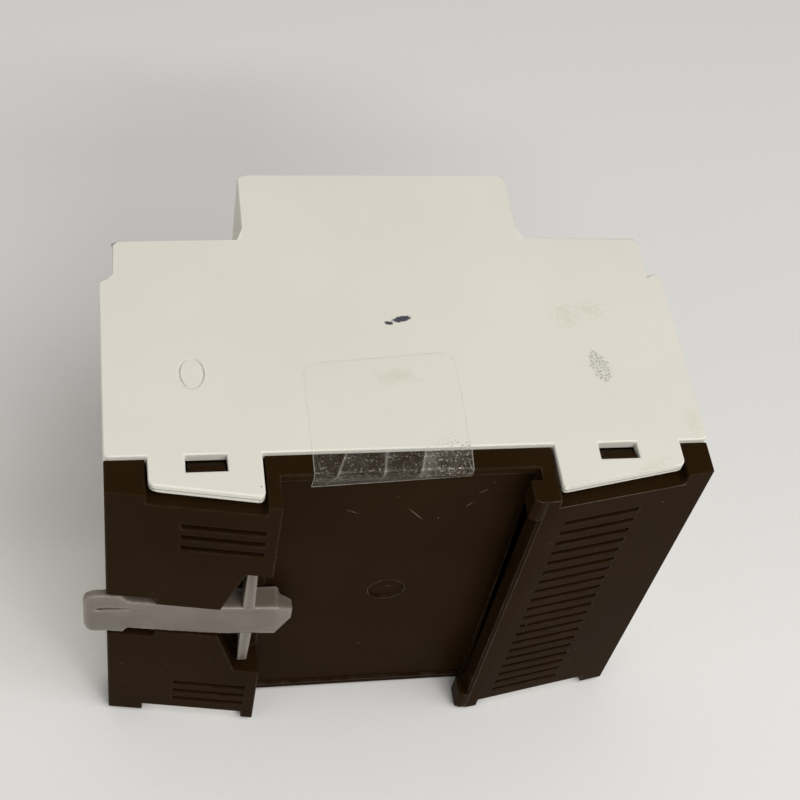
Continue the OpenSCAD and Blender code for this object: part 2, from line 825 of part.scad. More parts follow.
module main_board() {
    edge = 0.9;
    half_x = half_front - cover_wall - edge;
    color([0.1, 0.35, 0.2])
    difference() {
        box([-half_x, main_y, cover_wall + edge],
            [half_x, main_rear_y, module_w - cover_wall - edge]);
        for (x = [-post_x, post_x], z = post_z)
            front_rod(x, main_rear_y + cut, z, screw_bore + 0.1, board_t + 2 * cut);
    }
}

module io_board() {
    edge = 1;
    pin_hole = 1;
    half_x = half_h - cover_wall - edge;
    color([0.1, 0.35, 0.2])
    difference() {
        box([-half_x, io_y, cover_wall + edge],
            [half_x, io_rear_y, module_w - cover_wall - edge]);
        for (x = [-post_x, post_x], z = post_z)
            front_rod(x, io_rear_y + cut, z, screw_bore + 0.1, board_t + 2 * cut);
        for (s = [-1, 1], i = [0 : pole_count - 1])
            box([s * screw_x - pin_hole / 2, io_y - cut, pole_z(i) - pin_hole / 2],
                [s * screw_x + pin_hole / 2, io_rear_y + cut, pole_z(i) + pin_hole / 2]);
    }
}

// spacers with a stud that goes through the rear board into the base
module board_spacers() {
    stud_len = 6;
    bore_len = 8;
    color([0.78, 0.78, 0.76])
    for (x = [-post_x, post_x], z = post_z)
        difference() {
            union() {
                front_rod(x, io_y, z, post_d, io_y - main_rear_y);
                front_rod(x, io_y + stud_len, z, screw_d, stud_len + 0.1);
            }
            front_rod(x, main_rear_y + bore_len, z, screw_bore, bore_len + cut);
        }
}

module board_screws() {
    head = [4.6, 1.6];
    thread_len = 7;
    cross = [2.6, 1.6, 0.5];
    color([0.75, 0.76, 0.78])
    for (x = [-post_x, post_x], z = post_z)
        difference() {
            union() {
                front_rod(x, main_y, z, head[0], head[1]);
                front_rod(x, main_y + thread_len, z, screw_d, thread_len + 0.1);
            }
            for (a = [0, 90])
                translate([x, main_y - head[1], z]) rotate([0, a, 0]) cube(cross, center = true);
        }
}

module board_header() {
    header_x = [-4, -1.5];
    header_z = [22, 50];
    header_h = 9;
    pin = 0.6;
    pin_pitch = 2.7;
    pin_x = (header_x[0] + header_x[1]) / 2;
    color([0.12, 0.12, 0.13])
    union() {
        box([header_x[0], main_rear_y, header_z[0]], [header_x[1], main_rear_y + header_h, header_z[1]]);
        box([header_x[0], io_y - header_h, header_z[0]], [header_x[1], io_y, header_z[1]]);
        for (i = [0 : 9])
            translate([pin_x, (main_rear_y + io_y) / 2, header_z[0] + 1.9 + i * pin_pitch])
                cube([pin, io_y - main_rear_y - 2 * header_h + 0.2, pin], center = true);
    }
}

module processor() {
    size = 12;
    corner = [-7, 16];
    chip_y = [main_y - 1.4, main_y - 0.2];
    lead = [0.4, 1];
    lead_h = 0.7;
    lead_pitch = 1.5;
    color([0.09, 0.09, 0.1])
    union() {
        box([corner[0], chip_y[0], corner[1]], [corner[0] + size, chip_y[1], corner[1] + size]);
        for (i = [0 : 7], z = [corner[1] - lead[1], corner[1] + size])
            translate([corner[0] + 0.8 + i * lead_pitch, main_y - lead_h, z])
                cube([lead[0], lead_h, lead[1]]);
    }
}

module memory_chips() {
    chip = [8.4, 4];
    chip_x = -5;
    chip_y = [main_y - 1.6, main_y - 0.2];
    lead = [0.5, 0.9];
    lead_h = 0.8;
    lead_pitch = 1.8;
    color([0.09, 0.09, 0.1])
    for (z = [33, 40])
        union() {
            box([chip_x, chip_y[0], z], [chip_x + chip[0], chip_y[1], z + chip[1]]);
            for (i = [0 : 4], lead_z = [z - lead[1], z + chip[1]])
                translate([chip_x + 0.5 + i * lead_pitch, main_y - lead_h, lead_z])
                    cube([lead[0], lead_h, lead[1]]);
        }
}

module crystal() {
    can_w = 3.2;
    can_h = 3.2;
    can_z = [6.6, 11.4];
    color([0.8, 0.8, 0.82])
    union() {
        box([-can_w / 2, main_y - can_h, can_z[0]], [can_w / 2, main_y, can_z[1]]);
        for (z = can_z)
            front_rod(0, main_y, z, can_w, can_h);
    }
}

module cell_holder() {
    outer_d = 16;
    seat_d = 12.8;
    color([0.15, 0.15, 0.16])
    difference() {
        front_rod(cell_pos[0], main_rear_y + cell_h, cell_pos[1], outer_d, cell_h);
        front_rod(cell_pos[0], main_rear_y + cell_h + cut, cell_pos[1], seat_d,
                  cell_h - cell_floor + cut);
    }
}

module coin_cell() {
    cell_d = 12.5;
    color([0.8, 0.81, 0.82])
    front_rod(cell_pos[0], main_rear_y + cell_h, cell_pos[1], cell_d, cell_h - cell_floor);
}

module relays() {
    size = [19.6, 15.5, 9.8];
    first = [1.5, 16];
    pitch = 10;
    color([0.12, 0.25, 0.5])
    for (i = [0 : 3])
        translate([first[0], io_y - size[1], first[1] + i * pitch]) cube(size);
}

module transformer_core() {
    color([0.25, 0.25, 0.26])
    difference() {
        box([core_x[0], io_y - core_h, core_z[0]], [core_x[1], io_y, core_z[1]]);
        box([core_x[0] - cut, io_y - core_h + core_yoke, winding_z[0]],
            [core_x[1] + cut, io_y - core_yoke, winding_z[1]]);
    }
}

module transformer_winding() {
    inset = 1;
    color([0.8, 0.7, 0.3])
    box([core_x[0] + inset, io_y - core_h + core_yoke, winding_z[0]],
        [core_x[1] - inset, io_y - core_yoke, winding_z[1]]);
}

module capacitors() {
    can_x = -13;
    can_d = 10;
    can_h = 16;
    vent = [8, 0.4, 0.4];
    color([0.15, 0.2, 0.4])
    for (z = [43.5, 54])
        difference() {
            front_rod(can_x, io_y, z, can_d, can_h);
            for (a = [0, 90])
                translate([can_x, io_y - can_h, z]) rotate([0, a, 0]) cube(vent, center = true);
        }
}

module optocouplers() {
    size = [4, 3.4, 5];
    first = [-29.4, 15];
    pitch = 7;
    color([0.93, 0.93, 0.9])
    for (i = [0 : 5])
        translate([first[0], io_y - size[1], first[1] + i * pitch]) cube(size);
}

module varistor() {
    disc = [9, 3];
    disc_x = -8;
    disc_z = 7;
    lead_t = 0.6;
    lead_half_gap = 2;
    lead_h = 3.5;
    color([0.15, 0.35, 0.65])
    union() {
        translate([disc_x, io_y - 6, disc_z]) rotate([0, 90, 0]) cylinder(d = disc[0], h = disc[1]);
        for (z = [disc_z - lead_half_gap, disc_z + lead_half_gap])
            translate([disc_x + disc[1] / 2 - 0.4, io_y - lead_h, z - lead_t / 2])
                cube([lead_t, lead_h, lead_t]);
    }
}

module fuse() {
    tube = [3.4, 10];
    tube_x = 1;
    tube_z = 61;
    cap = [2.2, 3, 4];
    color([0.85, 0.8, 0.7])
    union() {
        translate([tube_x, io_y - 2.2, tube_z]) rotate([0, 90, 0]) cylinder(d = tube[0], h = tube[1]);
        for (x = [tube_x, tube_x + tube[1] - cap[0]])
            translate([x, io_y - cap[1], tube_z - cap[2] / 2]) cube(cap);
    }
}

front_cover();
rear_base();
rail_clip();
clip_spring();
seal_tape();
front_overlay();
status_window();
light_pipes();
status_leds();
port_flap();
programming_port();
port_pins();
mode_switch();
switch_body();
reset_button();
reset_switch();
terminal_block(true);  // terminal_block_upper
terminal_block(false);  // terminal_block_lower
terminal_screws(true);  // terminal_screws_upper
terminal_screws(false);  // terminal_screws_lower
clamp_cages(true);  // clamp_cages_upper
clamp_cages(false);  // clamp_cages_lower
terminal_pins(true);  // terminal_pins_upper
terminal_pins(false);  // terminal_pins_lower
main_board();
io_board();
board_spacers();
board_screws();
board_header();
processor();
memory_chips();
crystal();
cell_holder();
coin_cell();
relays();
transformer_core();
transformer_winding();
capacitors();
optocouplers();
varistor();
fuse();
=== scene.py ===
import json
import math

import bmesh
import bpy
from mathutils import Matrix, Vector, noise


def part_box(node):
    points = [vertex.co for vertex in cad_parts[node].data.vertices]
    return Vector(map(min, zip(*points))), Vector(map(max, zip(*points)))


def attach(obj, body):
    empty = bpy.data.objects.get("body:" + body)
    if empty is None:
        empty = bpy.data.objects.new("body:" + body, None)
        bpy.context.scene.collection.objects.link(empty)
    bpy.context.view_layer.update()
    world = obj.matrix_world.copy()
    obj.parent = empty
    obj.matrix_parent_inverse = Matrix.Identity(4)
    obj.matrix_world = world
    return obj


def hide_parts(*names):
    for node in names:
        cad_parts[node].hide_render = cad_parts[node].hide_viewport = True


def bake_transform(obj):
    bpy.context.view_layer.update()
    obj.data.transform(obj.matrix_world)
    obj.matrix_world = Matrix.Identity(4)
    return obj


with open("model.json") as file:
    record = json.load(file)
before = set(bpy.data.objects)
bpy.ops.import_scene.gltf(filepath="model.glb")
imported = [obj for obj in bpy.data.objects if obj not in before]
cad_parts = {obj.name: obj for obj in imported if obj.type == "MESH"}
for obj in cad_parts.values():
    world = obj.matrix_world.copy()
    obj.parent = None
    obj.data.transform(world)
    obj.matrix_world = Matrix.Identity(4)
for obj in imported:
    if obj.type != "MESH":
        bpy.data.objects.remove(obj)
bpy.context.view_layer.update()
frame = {"nodes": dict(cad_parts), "record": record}
mm = 0.001
scene = bpy.context.scene
print("frame loaded,", len(frame["nodes"]), "nodes")


def makeNode(tree, kind, values=None, **settings):
    node = tree.nodes.new(kind)
    for key, value in settings.items():
        setattr(node, key, value)
    for key, value in (values or {}).items():
        if isinstance(value, bpy.types.NodeSocket):
            tree.links.new(value, node.inputs[key])
        else:
            node.inputs[key].default_value = value
    return node


def startMaterial(name):
    material = bpy.data.materials.new(name)
    material.use_nodes = True
    tree = material.node_tree
    tree.nodes.clear()
    shader = tree.nodes.new("ShaderNodeBsdfPrincipled")
    output = tree.nodes.new("ShaderNodeOutputMaterial")
    tree.links.new(shader.outputs["BSDF"], output.inputs["Surface"])
    place = makeNode(tree, "ShaderNodeTexCoord").outputs["Object"]
    return material, tree, shader, place


def noiseValue(tree, place, size, detail=3.0, rough=0.55, stretch=None):
    # size is the grain's length in metres
    if stretch:
        place = makeNode(tree, "ShaderNodeMapping", {"Vector": place, "Scale": stretch}).outputs["Vector"]
    values = {"Vector": place, "Scale": 1.0 / size, "Detail": detail, "Roughness": rough}
    return makeNode(tree, "ShaderNodeTexNoise", values).outputs["Fac"]


def calc(tree, operation, first, second=0.0, clamp=False):
    node = makeNode(tree, "ShaderNodeMath", {0: first, 1: second}, operation=operation, use_clamp=clamp)
    return node.outputs["Value"]


def spread(tree, value, fromLow, fromHigh, toLow=0.0, toHigh=1.0):
    values = {"Value": value, "From Min": fromLow, "From Max": fromHigh, "To Min": toLow, "To Max": toHigh}
    return makeNode(tree, "ShaderNodeMapRange", values, clamp=True).outputs["Result"]


def mixColour(tree, amount, first, second, blend="MIX"):
    node = makeNode(tree, "ShaderNodeMix", data_type="RGBA", blend_type=blend)
    for socket, value in ((node.inputs[0], amount), (node.inputs[6], first), (node.inputs[7], second)):
        if isinstance(value, bpy.types.NodeSocket):
            tree.links.new(value, socket)
        else:
            socket.default_value = (*value, 1.0) if isinstance(value, tuple) else value
    return node.outputs[2]


def paintOver(tree, colour, mask, amount, tint):
    return mixColour(tree, calc(tree, "MULTIPLY", mask, amount), colour, tint)


def edgeMask(tree, radius):
    # 1 along sharp edges, 0 on flat faces
    soft = makeNode(tree, "ShaderNodeBevel", {"Radius": radius}, samples=4).outputs["Normal"]
    hard = makeNode(tree, "ShaderNodeNewGeometry").outputs["Normal"]
    same = makeNode(tree, "ShaderNodeVectorMath", {0: soft, 1: hard}, operation="DOT_PRODUCT")
    return spread(tree, same.outputs["Value"], 0.99, 0.86)


def bumpNormal(tree, height, depth, strength=1.0, under=None):
    values = {"Height": height, "Distance": depth, "Strength": strength}
    if under:
        values["Normal"] = under
    return makeNode(tree, "ShaderNodeBump", values).outputs["Normal"]


def rareDots(tree, place, perMetre, dot, share):
    # small dots in the cells of a Voronoi pattern; share of the cells stays empty
    cells = makeNode(tree, "ShaderNodeTexVoronoi", {"Vector": place, "Scale": perMetre})
    number = makeNode(tree, "ShaderNodeSeparateColor", {"Color": cells.outputs["Color"]}).outputs[0]
    chosen = calc(tree, "GREATER_THAN", number, share)
    return calc(tree, "MULTIPLY", spread(tree, cells.outputs["Distance"], dot[0], dot[1]), chosen)


def reachFrom(tree, place, mark, turn):
    # 0 in the middle of a mark and 1 at its edge: mark["at"] and mark["size"] in mm
    values = {"Vector": place, "Rotation": turn,
              "Location": [v * mm for v in mark["at"]], "Scale": [v * mm for v in mark["size"]]}
    local = makeNode(tree, "ShaderNodeMapping", values, vector_type="TEXTURE").outputs["Vector"]
    return makeNode(tree, "ShaderNodeVectorMath", {0: local}, operation="LENGTH").outputs["Value"]


def spotMask(tree, place, spot):
    # a soft ragged spot, turned by spot["turn"] degrees
    reach = reachFrom(tree, place, spot, (0, 0, math.radians(spot["turn"])))
    ragged = calc(tree, "SUBTRACT", noiseValue(tree, place, spot["grain"] * mm, 4.0), 0.5)
    reach = calc(tree, "ADD", reach, calc(tree, "MULTIPLY", ragged, spot["rag"]))
    return spread(tree, reach, 1.0, 1.0 - spot.get("soft", 0.25))


def mouldedPlastic(name, look):
    material, tree, shader, place = startMaterial(name)
    cloud = noiseValue(tree, place, look.get("cloud", 14) * mm, 4.0)
    colour = mixColour(tree, spread(tree, cloud, 0.3, 0.7), look["colour"], look["shade"])
    grain = noiseValue(tree, place, look.get("grain", 0.35) * mm, 2.0)
    if "wear" in look:
        edge = edgeMask(tree, look.get("wearWidth", 0.35) * mm)
        patch = spread(tree, noiseValue(tree, place, 3 * mm, 5.0), 0.4, 0.62)
        worn = calc(tree, "MULTIPLY", calc(tree, "MULTIPLY", edge, patch), look.get("wearAmount", 0.6))
        colour = mixColour(tree, worn, colour, look["wear"])
    tree.links.new(colour, shader.inputs["Base Color"])
    rough = calc(tree, "ADD", spread(tree, cloud, 0.3, 0.7, look["rough"] - 0.05, look["rough"] + 0.05),
                 spread(tree, grain, 0.3, 0.7, -0.04, 0.04))
    tree.links.new(rough, shader.inputs["Roughness"])
    tree.links.new(bumpNormal(tree, grain, look.get("depth", 0.02) * mm), shader.inputs["Normal"])
    shader.inputs["IOR"].default_value = look.get("ior", 1.48)
    return material


def platedMetal(name, look):
    material, tree, shader, place = startMaterial(name)
    shader.inputs["Metallic"].default_value = 1.0
    streak = noiseValue(tree, place, look.get("streak", 0.25) * mm, 3.0, 0.6, look.get("stretch", (1, 8, 1)))
    cloud = noiseValue(tree, place, 2.5 * mm, 5.0)
    colour = mixColour(tree, spread(tree, cloud, 0.35, 0.7), look["colour"], look["shade"])
    colour = paintOver(tree, colour, edgeMask(tree, 0.15 * mm), 0.6, look["bright"])
    tree.links.new(colour, shader.inputs["Base Color"])
    rough = calc(tree, "ADD", spread(tree, streak, 0.3, 0.7, look["rough"] - 0.06, look["rough"] + 0.08),
                 spread(tree, cloud, 0.4, 0.7, 0.0, 0.08))
    tree.links.new(rough, shader.inputs["Roughness"])
    tree.links.new(bumpNormal(tree, streak, 0.01 * mm), shader.inputs["Normal"])
    return material


coverMarks = {
    "colour": (0.735, 0.71, 0.63),
    "shade": (0.705, 0.68, 0.60),
    # pale: painted highlight along the edges
    "pale": (0.82, 0.81, 0.76),
    "speckColour": (0.16, 0.13, 0.1),
    "speckDots": (0.045, 0.02),
    "seamColour": (0.10, 0.09, 0.07),
    "seamMiddle": 36,    # the module's middle, in mm
    "seamAt": 34.95,     # distance of the tabs' parting line from that middle
    "seamFrom": -3.55,   # the line runs only behind this y
    "ink": (0.012, 0.012, 0.03),
    "inkSpots": [
        {"at": (-0.9, -27.5, 72), "size": (1.7, 0.62, 0.8), "turn": 12, "grain": 0.5, "rag": 0.9},
        {"at": (1.25, -26.75, 72), "size": (0.75, 0.38, 0.8), "turn": -10, "grain": 0.3, "rag": 1.4},
    ],
    "smudge": (0.56, 0.57, 0.42),
    "smudgeSpots": [
        {"at": (-27.2, -27.6, 72), "size": (2.2, 3.0, 0.8), "turn": 20,
         "grain": 0.9, "rag": 3.6, "soft": 0.9},
        {"at": (-31.5, -28.8, 72), "size": (2.6, 1.6, 0.8), "turn": -20,
         "grain": 0.7, "rag": 3.8, "soft": 0.9},
        {"at": (-35.0, 1.0, 72), "size": (3.5, 1.0, 0.8), "turn": 20,
         "grain": 0.6, "rag": 3.6, "soft": 0.9},
        {"at": (-43.4, -6.4, 72), "size": (1.3, 3.2, 0.8), "turn": 0,
         "grain": 0.6, "rag": 3.4, "soft": 0.9},
    ],
    "scuffSpots": [{"at": (-30.9, -17.6, 72), "size": (1.5, 3.2, 0.8), "turn": 12, "grain": 0.6, "rag": 1.6}],
    "scuffColour": (0.9, 0.89, 0.85),
    "glueSpots": [
        {"at": (1.2, -16.6, 72), "size": (4.2, 1.7, 0.8), "turn": 0,
         "grain": 1.1, "rag": 2.4, "soft": 0.9},
    ],
    "glue": (0.5, 0.46, 0.36),
}


def partingLine(tree, place, look):
    # thin dark line half way down the upright edges of the tabs
    parts = makeNode(tree, "ShaderNodeSeparateXYZ", {"Vector": place})
    height = calc(tree, "ABSOLUTE", calc(tree, "SUBTRACT", parts.outputs["Z"], look["seamMiddle"] * mm))
    offset = calc(tree, "ABSOLUTE", calc(tree, "SUBTRACT", height, look["seamAt"] * mm))
    line = spread(tree, offset, 0.11 * mm, 0.05 * mm)
    normal = makeNode(tree, "ShaderNodeNewGeometry").outputs["Normal"]
    upward = calc(tree, "ABSOLUTE", makeNode(tree, "ShaderNodeSeparateXYZ", {"Vector": normal}).outputs["Z"])
    line = calc(tree, "MULTIPLY", line, calc(tree, "LESS_THAN", upward, 0.4))
    return calc(tree, "MULTIPLY", line, calc(tree, "GREATER_THAN", parts.outputs["Y"], look["seamFrom"] * mm))


def coverPlastic(name, look):
    material, tree, shader, place = startMaterial(name)
    cloud = noiseValue(tree, place, 22 * mm, 4.0)
    grain = noiseValue(tree, place, 0.28 * mm, 2.5)
    colour = mixColour(tree, spread(tree, cloud, 0.3, 0.7), look["colour"], look["shade"])
    # painted highlight: the edges are painted paler, like light caught on the rounded edges
    edge = edgeMask(tree, 0.3 * mm)
    colour = paintOver(tree, colour, edge, 0.5, look["pale"])
    for spot in look["smudgeSpots"]:
        colour = paintOver(tree, colour, spotMask(tree, place, spot), 0.4, look["smudge"])
    for spot in look["glueSpots"]:
        colour = paintOver(tree, colour, spotMask(tree, place, spot), 0.35, look["glue"])
    specks = rareDots(tree, place, 210.0, look["speckDots"], 0.86)        # a few on each face
    colour = paintOver(tree, colour, specks, 0.7, look["speckColour"])
    seam = partingLine(tree, place, look)
    colour = paintOver(tree, colour, seam, 0.75, look["seamColour"])
    for spot in look["inkSpots"]:
        colour = paintOver(tree, colour, spotMask(tree, place, spot), 0.96, look["ink"])
    scuff = spotMask(tree, place, look["scuffSpots"][0])
    scratch = spread(tree, noiseValue(tree, place, 0.45 * mm, 3.0, 0.6, (1.6, 0.7, 1)), 0.5, 0.56)
    scuff = calc(tree, "MULTIPLY", scuff, scratch)
    colour = paintOver(tree, colour, scuff, 0.5, look["scuffColour"])
    tree.links.new(colour, shader.inputs["Base Color"])
    rough = calc(tree, "ADD", spread(tree, cloud, 0.3, 0.7, 0.5, 0.58),
                 spread(tree, grain, 0.3, 0.7, -0.05, 0.05))
    tree.links.new(rough, shader.inputs["Roughness"])
    fine = bumpNormal(tree, grain, 0.022 * mm)
    tree.links.new(bumpNormal(tree, scuff, 0.15 * mm, 1.0, fine), shader.inputs["Normal"])
    shader.inputs["IOR"].default_value = 1.47
    return material


baseLook = {
    # black plastic with a brown cast painted in: painted reflection of brown surroundings
    "colour": (0.0155, 0.0076, 0.0024),
    "shade": (0.021, 0.011, 0.004),
    # tint: reflections tinted brown, a painted reflection of brown surroundings
    "tint": (1.0, 0.68, 0.42, 1.0),
    "worn": (0.16, 0.14, 0.12),
    "scratch": (0.22, 0.17, 0.12),
    "dust": (0.3, 0.26, 0.2),
    "dustDots": (0.06, 0.03),
    "scratches": [
        {"at": (-1.5, -0.4, 58.5), "size": (0.16, 2, 2.6), "lean": 38},
        {"at": (8.5, -0.4, 60.0), "size": (0.12, 2, 1.6), "lean": 60},
        {"at": (-9.5, -0.4, 61.0), "size": (0.12, 2, 1.2), "lean": -35},
        {"at": (-11.0, -0.4, 64.5), "size": (0.1, 2, 1.0), "lean": -50},
    ],
}


def basePlastic(name, look):
    material, tree, shader, place = startMaterial(name)
    cloud = noiseValue(tree, place, 18 * mm, 4.0)
    grain = noiseValue(tree, place, 0.22 * mm, 2.0)
    # the brown cast of both tones is painted reflection of brown surroundings
    colour = mixColour(tree, spread(tree, cloud, 0.3, 0.7), look["colour"], look["shade"])
    edge = edgeMask(tree, 0.22 * mm)
    worn = calc(tree, "MULTIPLY", edge, spread(tree, noiseValue(tree, place, 2.2 * mm, 5.0), 0.42, 0.6))
    colour = paintOver(tree, colour, worn, 0.5, look["worn"])
    marks = None
    for scratch in look["scratches"]:
        reach = reachFrom(tree, place, scratch, (0, math.radians(scratch["lean"]), 0))
        mark = spread(tree, reach, 1.0, 0.4)
        marks = mark if marks is None else calc(tree, "MAXIMUM", marks, mark)
    marks = calc(tree, "MULTIPLY", marks, spread(tree, noiseValue(tree, place, 0.4 * mm, 3.0), 0.35, 0.55))
    colour = paintOver(tree, colour, marks, 0.6, look["scratch"])
    dust = rareDots(tree, place, 420.0, look["dustDots"], 0.8)
    colour = paintOver(tree, colour, dust, 0.5, look["dust"])
    tree.links.new(colour, shader.inputs["Base Color"])
    rough = calc(tree, "ADD", spread(tree, cloud, 0.3, 0.7, 0.3, 0.38),
                 spread(tree, grain, 0.3, 0.7, -0.05, 0.07))
    rough = calc(tree, "SUBTRACT", rough, calc(tree, "MULTIPLY", edge, 0.14))    # edges polished by handling
    tree.links.new(rough, shader.inputs["Roughness"])
    tree.links.new(bumpNormal(tree, grain, 0.012 * mm), shader.inputs["Normal"])
    # painted reflection: the reflections are tinted brown like brown surroundings
    shader.inputs["Specular Tint"].default_value = look["tint"]
    shader.inputs["IOR"].default_value = 1.45
    tree.links.new(spread(tree, edge, 0.0, 1.0, 0.01, 0.5), shader.inputs["Specular IOR Level"])
    return material


nylonLook = {
    "colour": (0.15, 0.122, 0.098),
    "shade": (0.105, 0.083, 0.065),
    "paintedEdgeLight": (0.27, 0.24, 0.205),         # painted light: paler along the edges, for highlights and light shining through the thin nylon
    "paintedEdgeLightWidth": 1.1,
}


def milkyNylon(name, look):
    material, tree, shader, place = startMaterial(name)
    cloud = noiseValue(tree, place, 9 * mm, 2.0)
    colour = mixColour(tree, spread(tree, cloud, 0.3, 0.7), look["colour"], look["shade"])
    # painted light: the edges are painted paler, for highlights and light shining through the thin nylon
    paintedEdgeLight = edgeMask(tree, look["paintedEdgeLightWidth"] * mm)
    colour = mixColour(tree, spread(tree, paintedEdgeLight, 0.05, 0.9), colour, look["paintedEdgeLight"])
    tree.links.new(colour, shader.inputs["Base Color"])
    shader.inputs["Subsurface Weight"].default_value = 0.25
    shader.inputs["Subsurface Radius"].default_value = (1.0, 0.8, 0.6)
    shader.inputs["Subsurface Scale"].default_value = 2.2 * mm
    shader.inputs["IOR"].default_value = 1.53
    grain = noiseValue(tree, place, 0.9 * mm, 3.0)
    tree.links.new(spread(tree, cloud, 0.3, 0.7, 0.22, 0.36), shader.inputs["Roughness"])
    tree.links.new(bumpNormal(tree, grain, 0.012 * mm), shader.inputs["Normal"])
    return material


def outerGloss(tree, ior):
    # gloss on the side that faces out, none on the inside of a thin clear piece
    gloss = makeNode(tree, "ShaderNodeFresnel", {"IOR": ior}).outputs["Fac"]
    inside = makeNode(tree, "ShaderNodeNewGeometry").outputs["Backfacing"]
    return calc(tree, "MULTIPLY", gloss, calc(tree, "SUBTRACT", 1.0, inside), clamp=True)


filmLook = {
    "colour": (0.92, 0.89, 0.80),
    "dirt": (0.34, 0.26, 0.17),
    "haze": 0.012,       # how much each of these hides of what lies under the film
    # painted sheen beside the creases
    "paintedCreaseSheen": 0.09,
    # rim: painted highlight lines along the film's edges and creases
    "rim": 0.16,
    "specks": 0.5,
}


def clearFilm(name, look):
    material, tree, shader, place = startMaterial(name)
    # painted sheen beside the creases, laid on the film in makeFilm
    paintedCreaseSheen = makeNode(tree, "ShaderNodeAttribute", attribute_name="paintedCreaseSheen").outputs["Fac"]
    # painted highlight lines along the film's edges and creases
    rim = makeNode(tree, "ShaderNodeAttribute", attribute_name="rim").outputs["Fac"]
    dusty = makeNode(tree, "ShaderNodeAttribute", attribute_name="dust").outputs["Fac"]
    haze = noiseValue(tree, place, 3 * mm, 5.0)
    specks = spread(tree, noiseValue(tree, place, 0.35 * mm, 3.0), 0.58, 0.66)
    dirt = calc(tree, "MULTIPLY", specks, dusty)
    colour = mixColour(tree, dirt, look["colour"], look["dirt"])
    tree.links.new(colour, shader.inputs["Base Color"])
    gloss = outerGloss(tree, 1.26)
    veil = spread(tree, haze, 0.35, 0.75, 0.0, look["haze"])
    # the veil adds the painted sheen and the painted highlight lines to the haze and the dust
    for mark, amount in ((paintedCreaseSheen, look["paintedCreaseSheen"]), (rim, look["rim"]), (dirt, look["specks"])):
        veil = calc(tree, "ADD", veil, calc(tree, "MULTIPLY", mark, amount))
    alpha = calc(tree, "ADD", gloss, veil, clamp=True)
    # the part of the film's veil that is gloss shines like a mirror, and the rest is matt
    mirror = calc(tree, "DIVIDE", gloss, calc(tree, "MAXIMUM", alpha, 0.001), clamp=True)
    tree.links.new(mirror, shader.inputs["Metallic"])
    tree.links.new(alpha, shader.inputs["Alpha"])
    tree.links.new(spread(tree, haze, 0.3, 0.7, 0.12, 0.24), shader.inputs["Roughness"])
    ripple = noiseValue(tree, place, 1.6 * mm, 2.0)
    tree.links.new(bumpNormal(tree, ripple, 0.012 * mm), shader.inputs["Normal"])
    shader.inputs["IOR"].default_value = 1.5
    return material


def seeThrough(name, look):
    material, tree, shader, place = startMaterial(name)
    haze = noiseValue(tree, place, 6 * mm, 4.0)
    colour = mixColour(tree, spread(tree, haze, 0.3, 0.7), look["colour"], look["shade"])
    tree.links.new(colour, shader.inputs["Base Color"])
    rough = spread(tree, haze, 0.3, 0.7, look["rough"], look["rough"] + 0.06)
    tree.links.new(rough, shader.inputs["Roughness"])
    gloss = outerGloss(tree, 1.49)
    alpha = calc(tree, "ADD", gloss, look["alpha"], clamp=True)
    tree.links.new(alpha, shader.inputs["Alpha"])
    wave = noiseValue(tree, place, 12 * mm, 1.0)
    tree.links.new(bumpNormal(tree, wave, 0.006 * mm), shader.inputs["Normal"])
    return material


boardLook = {
    "mask": (0.012, 0.10, 0.042),
    "shade": (0.016, 0.125, 0.05),
    "track": (0.03, 0.19, 0.075),
    "bareRim": (0.42, 0.36, 0.18),
}


def boardLaminate(name, look):
    # green solder mask over copper tracks, with bare rims
    material, tree, shader, place = startMaterial(name)
    values = {"Vector": place, "Scale": 260.0, "Randomness": 0.35}
    cells = makeNode(tree, "ShaderNodeTexVoronoi", values, distance="CHEBYCHEV", feature="DISTANCE_TO_EDGE")
    tracks = spread(tree, cells.outputs["Distance"], 0.1, 0.07)
    cloud = noiseValue(tree, place, 9 * mm, 3.0)
    mask = mixColour(tree, spread(tree, cloud, 0.3, 0.7), look["mask"], look["shade"])
    colour = paintOver(tree, mask, tracks, 0.8, look["track"])
    side = makeNode(tree, "ShaderNodeNewGeometry").outputs["Normal"]
    facing = makeNode(tree, "ShaderNodeSeparateXYZ", {"Vector": side}).outputs["Y"]
    rimFace = spread(tree, calc(tree, "ABSOLUTE", facing), 0.6, 0.3)
    colour = mixColour(tree, rimFace, colour, look["bareRim"])
    tree.links.new(colour, shader.inputs["Base Color"])
    tree.links.new(spread(tree, cloud, 0.3, 0.7, 0.22, 0.34), shader.inputs["Roughness"])
    tree.links.new(bumpNormal(tree, tracks, 0.03 * mm), shader.inputs["Normal"])
    return material


overlayLook = {
    "colour": (0.44, 0.47, 0.50),
    "shade": (0.41, 0.44, 0.47),
    "line": (0.07, 0.08, 0.09),
    "lineFrom": 0.7,     # distances of the printed line from the film's edge, in mm
    "lineTo": 1.05,
}


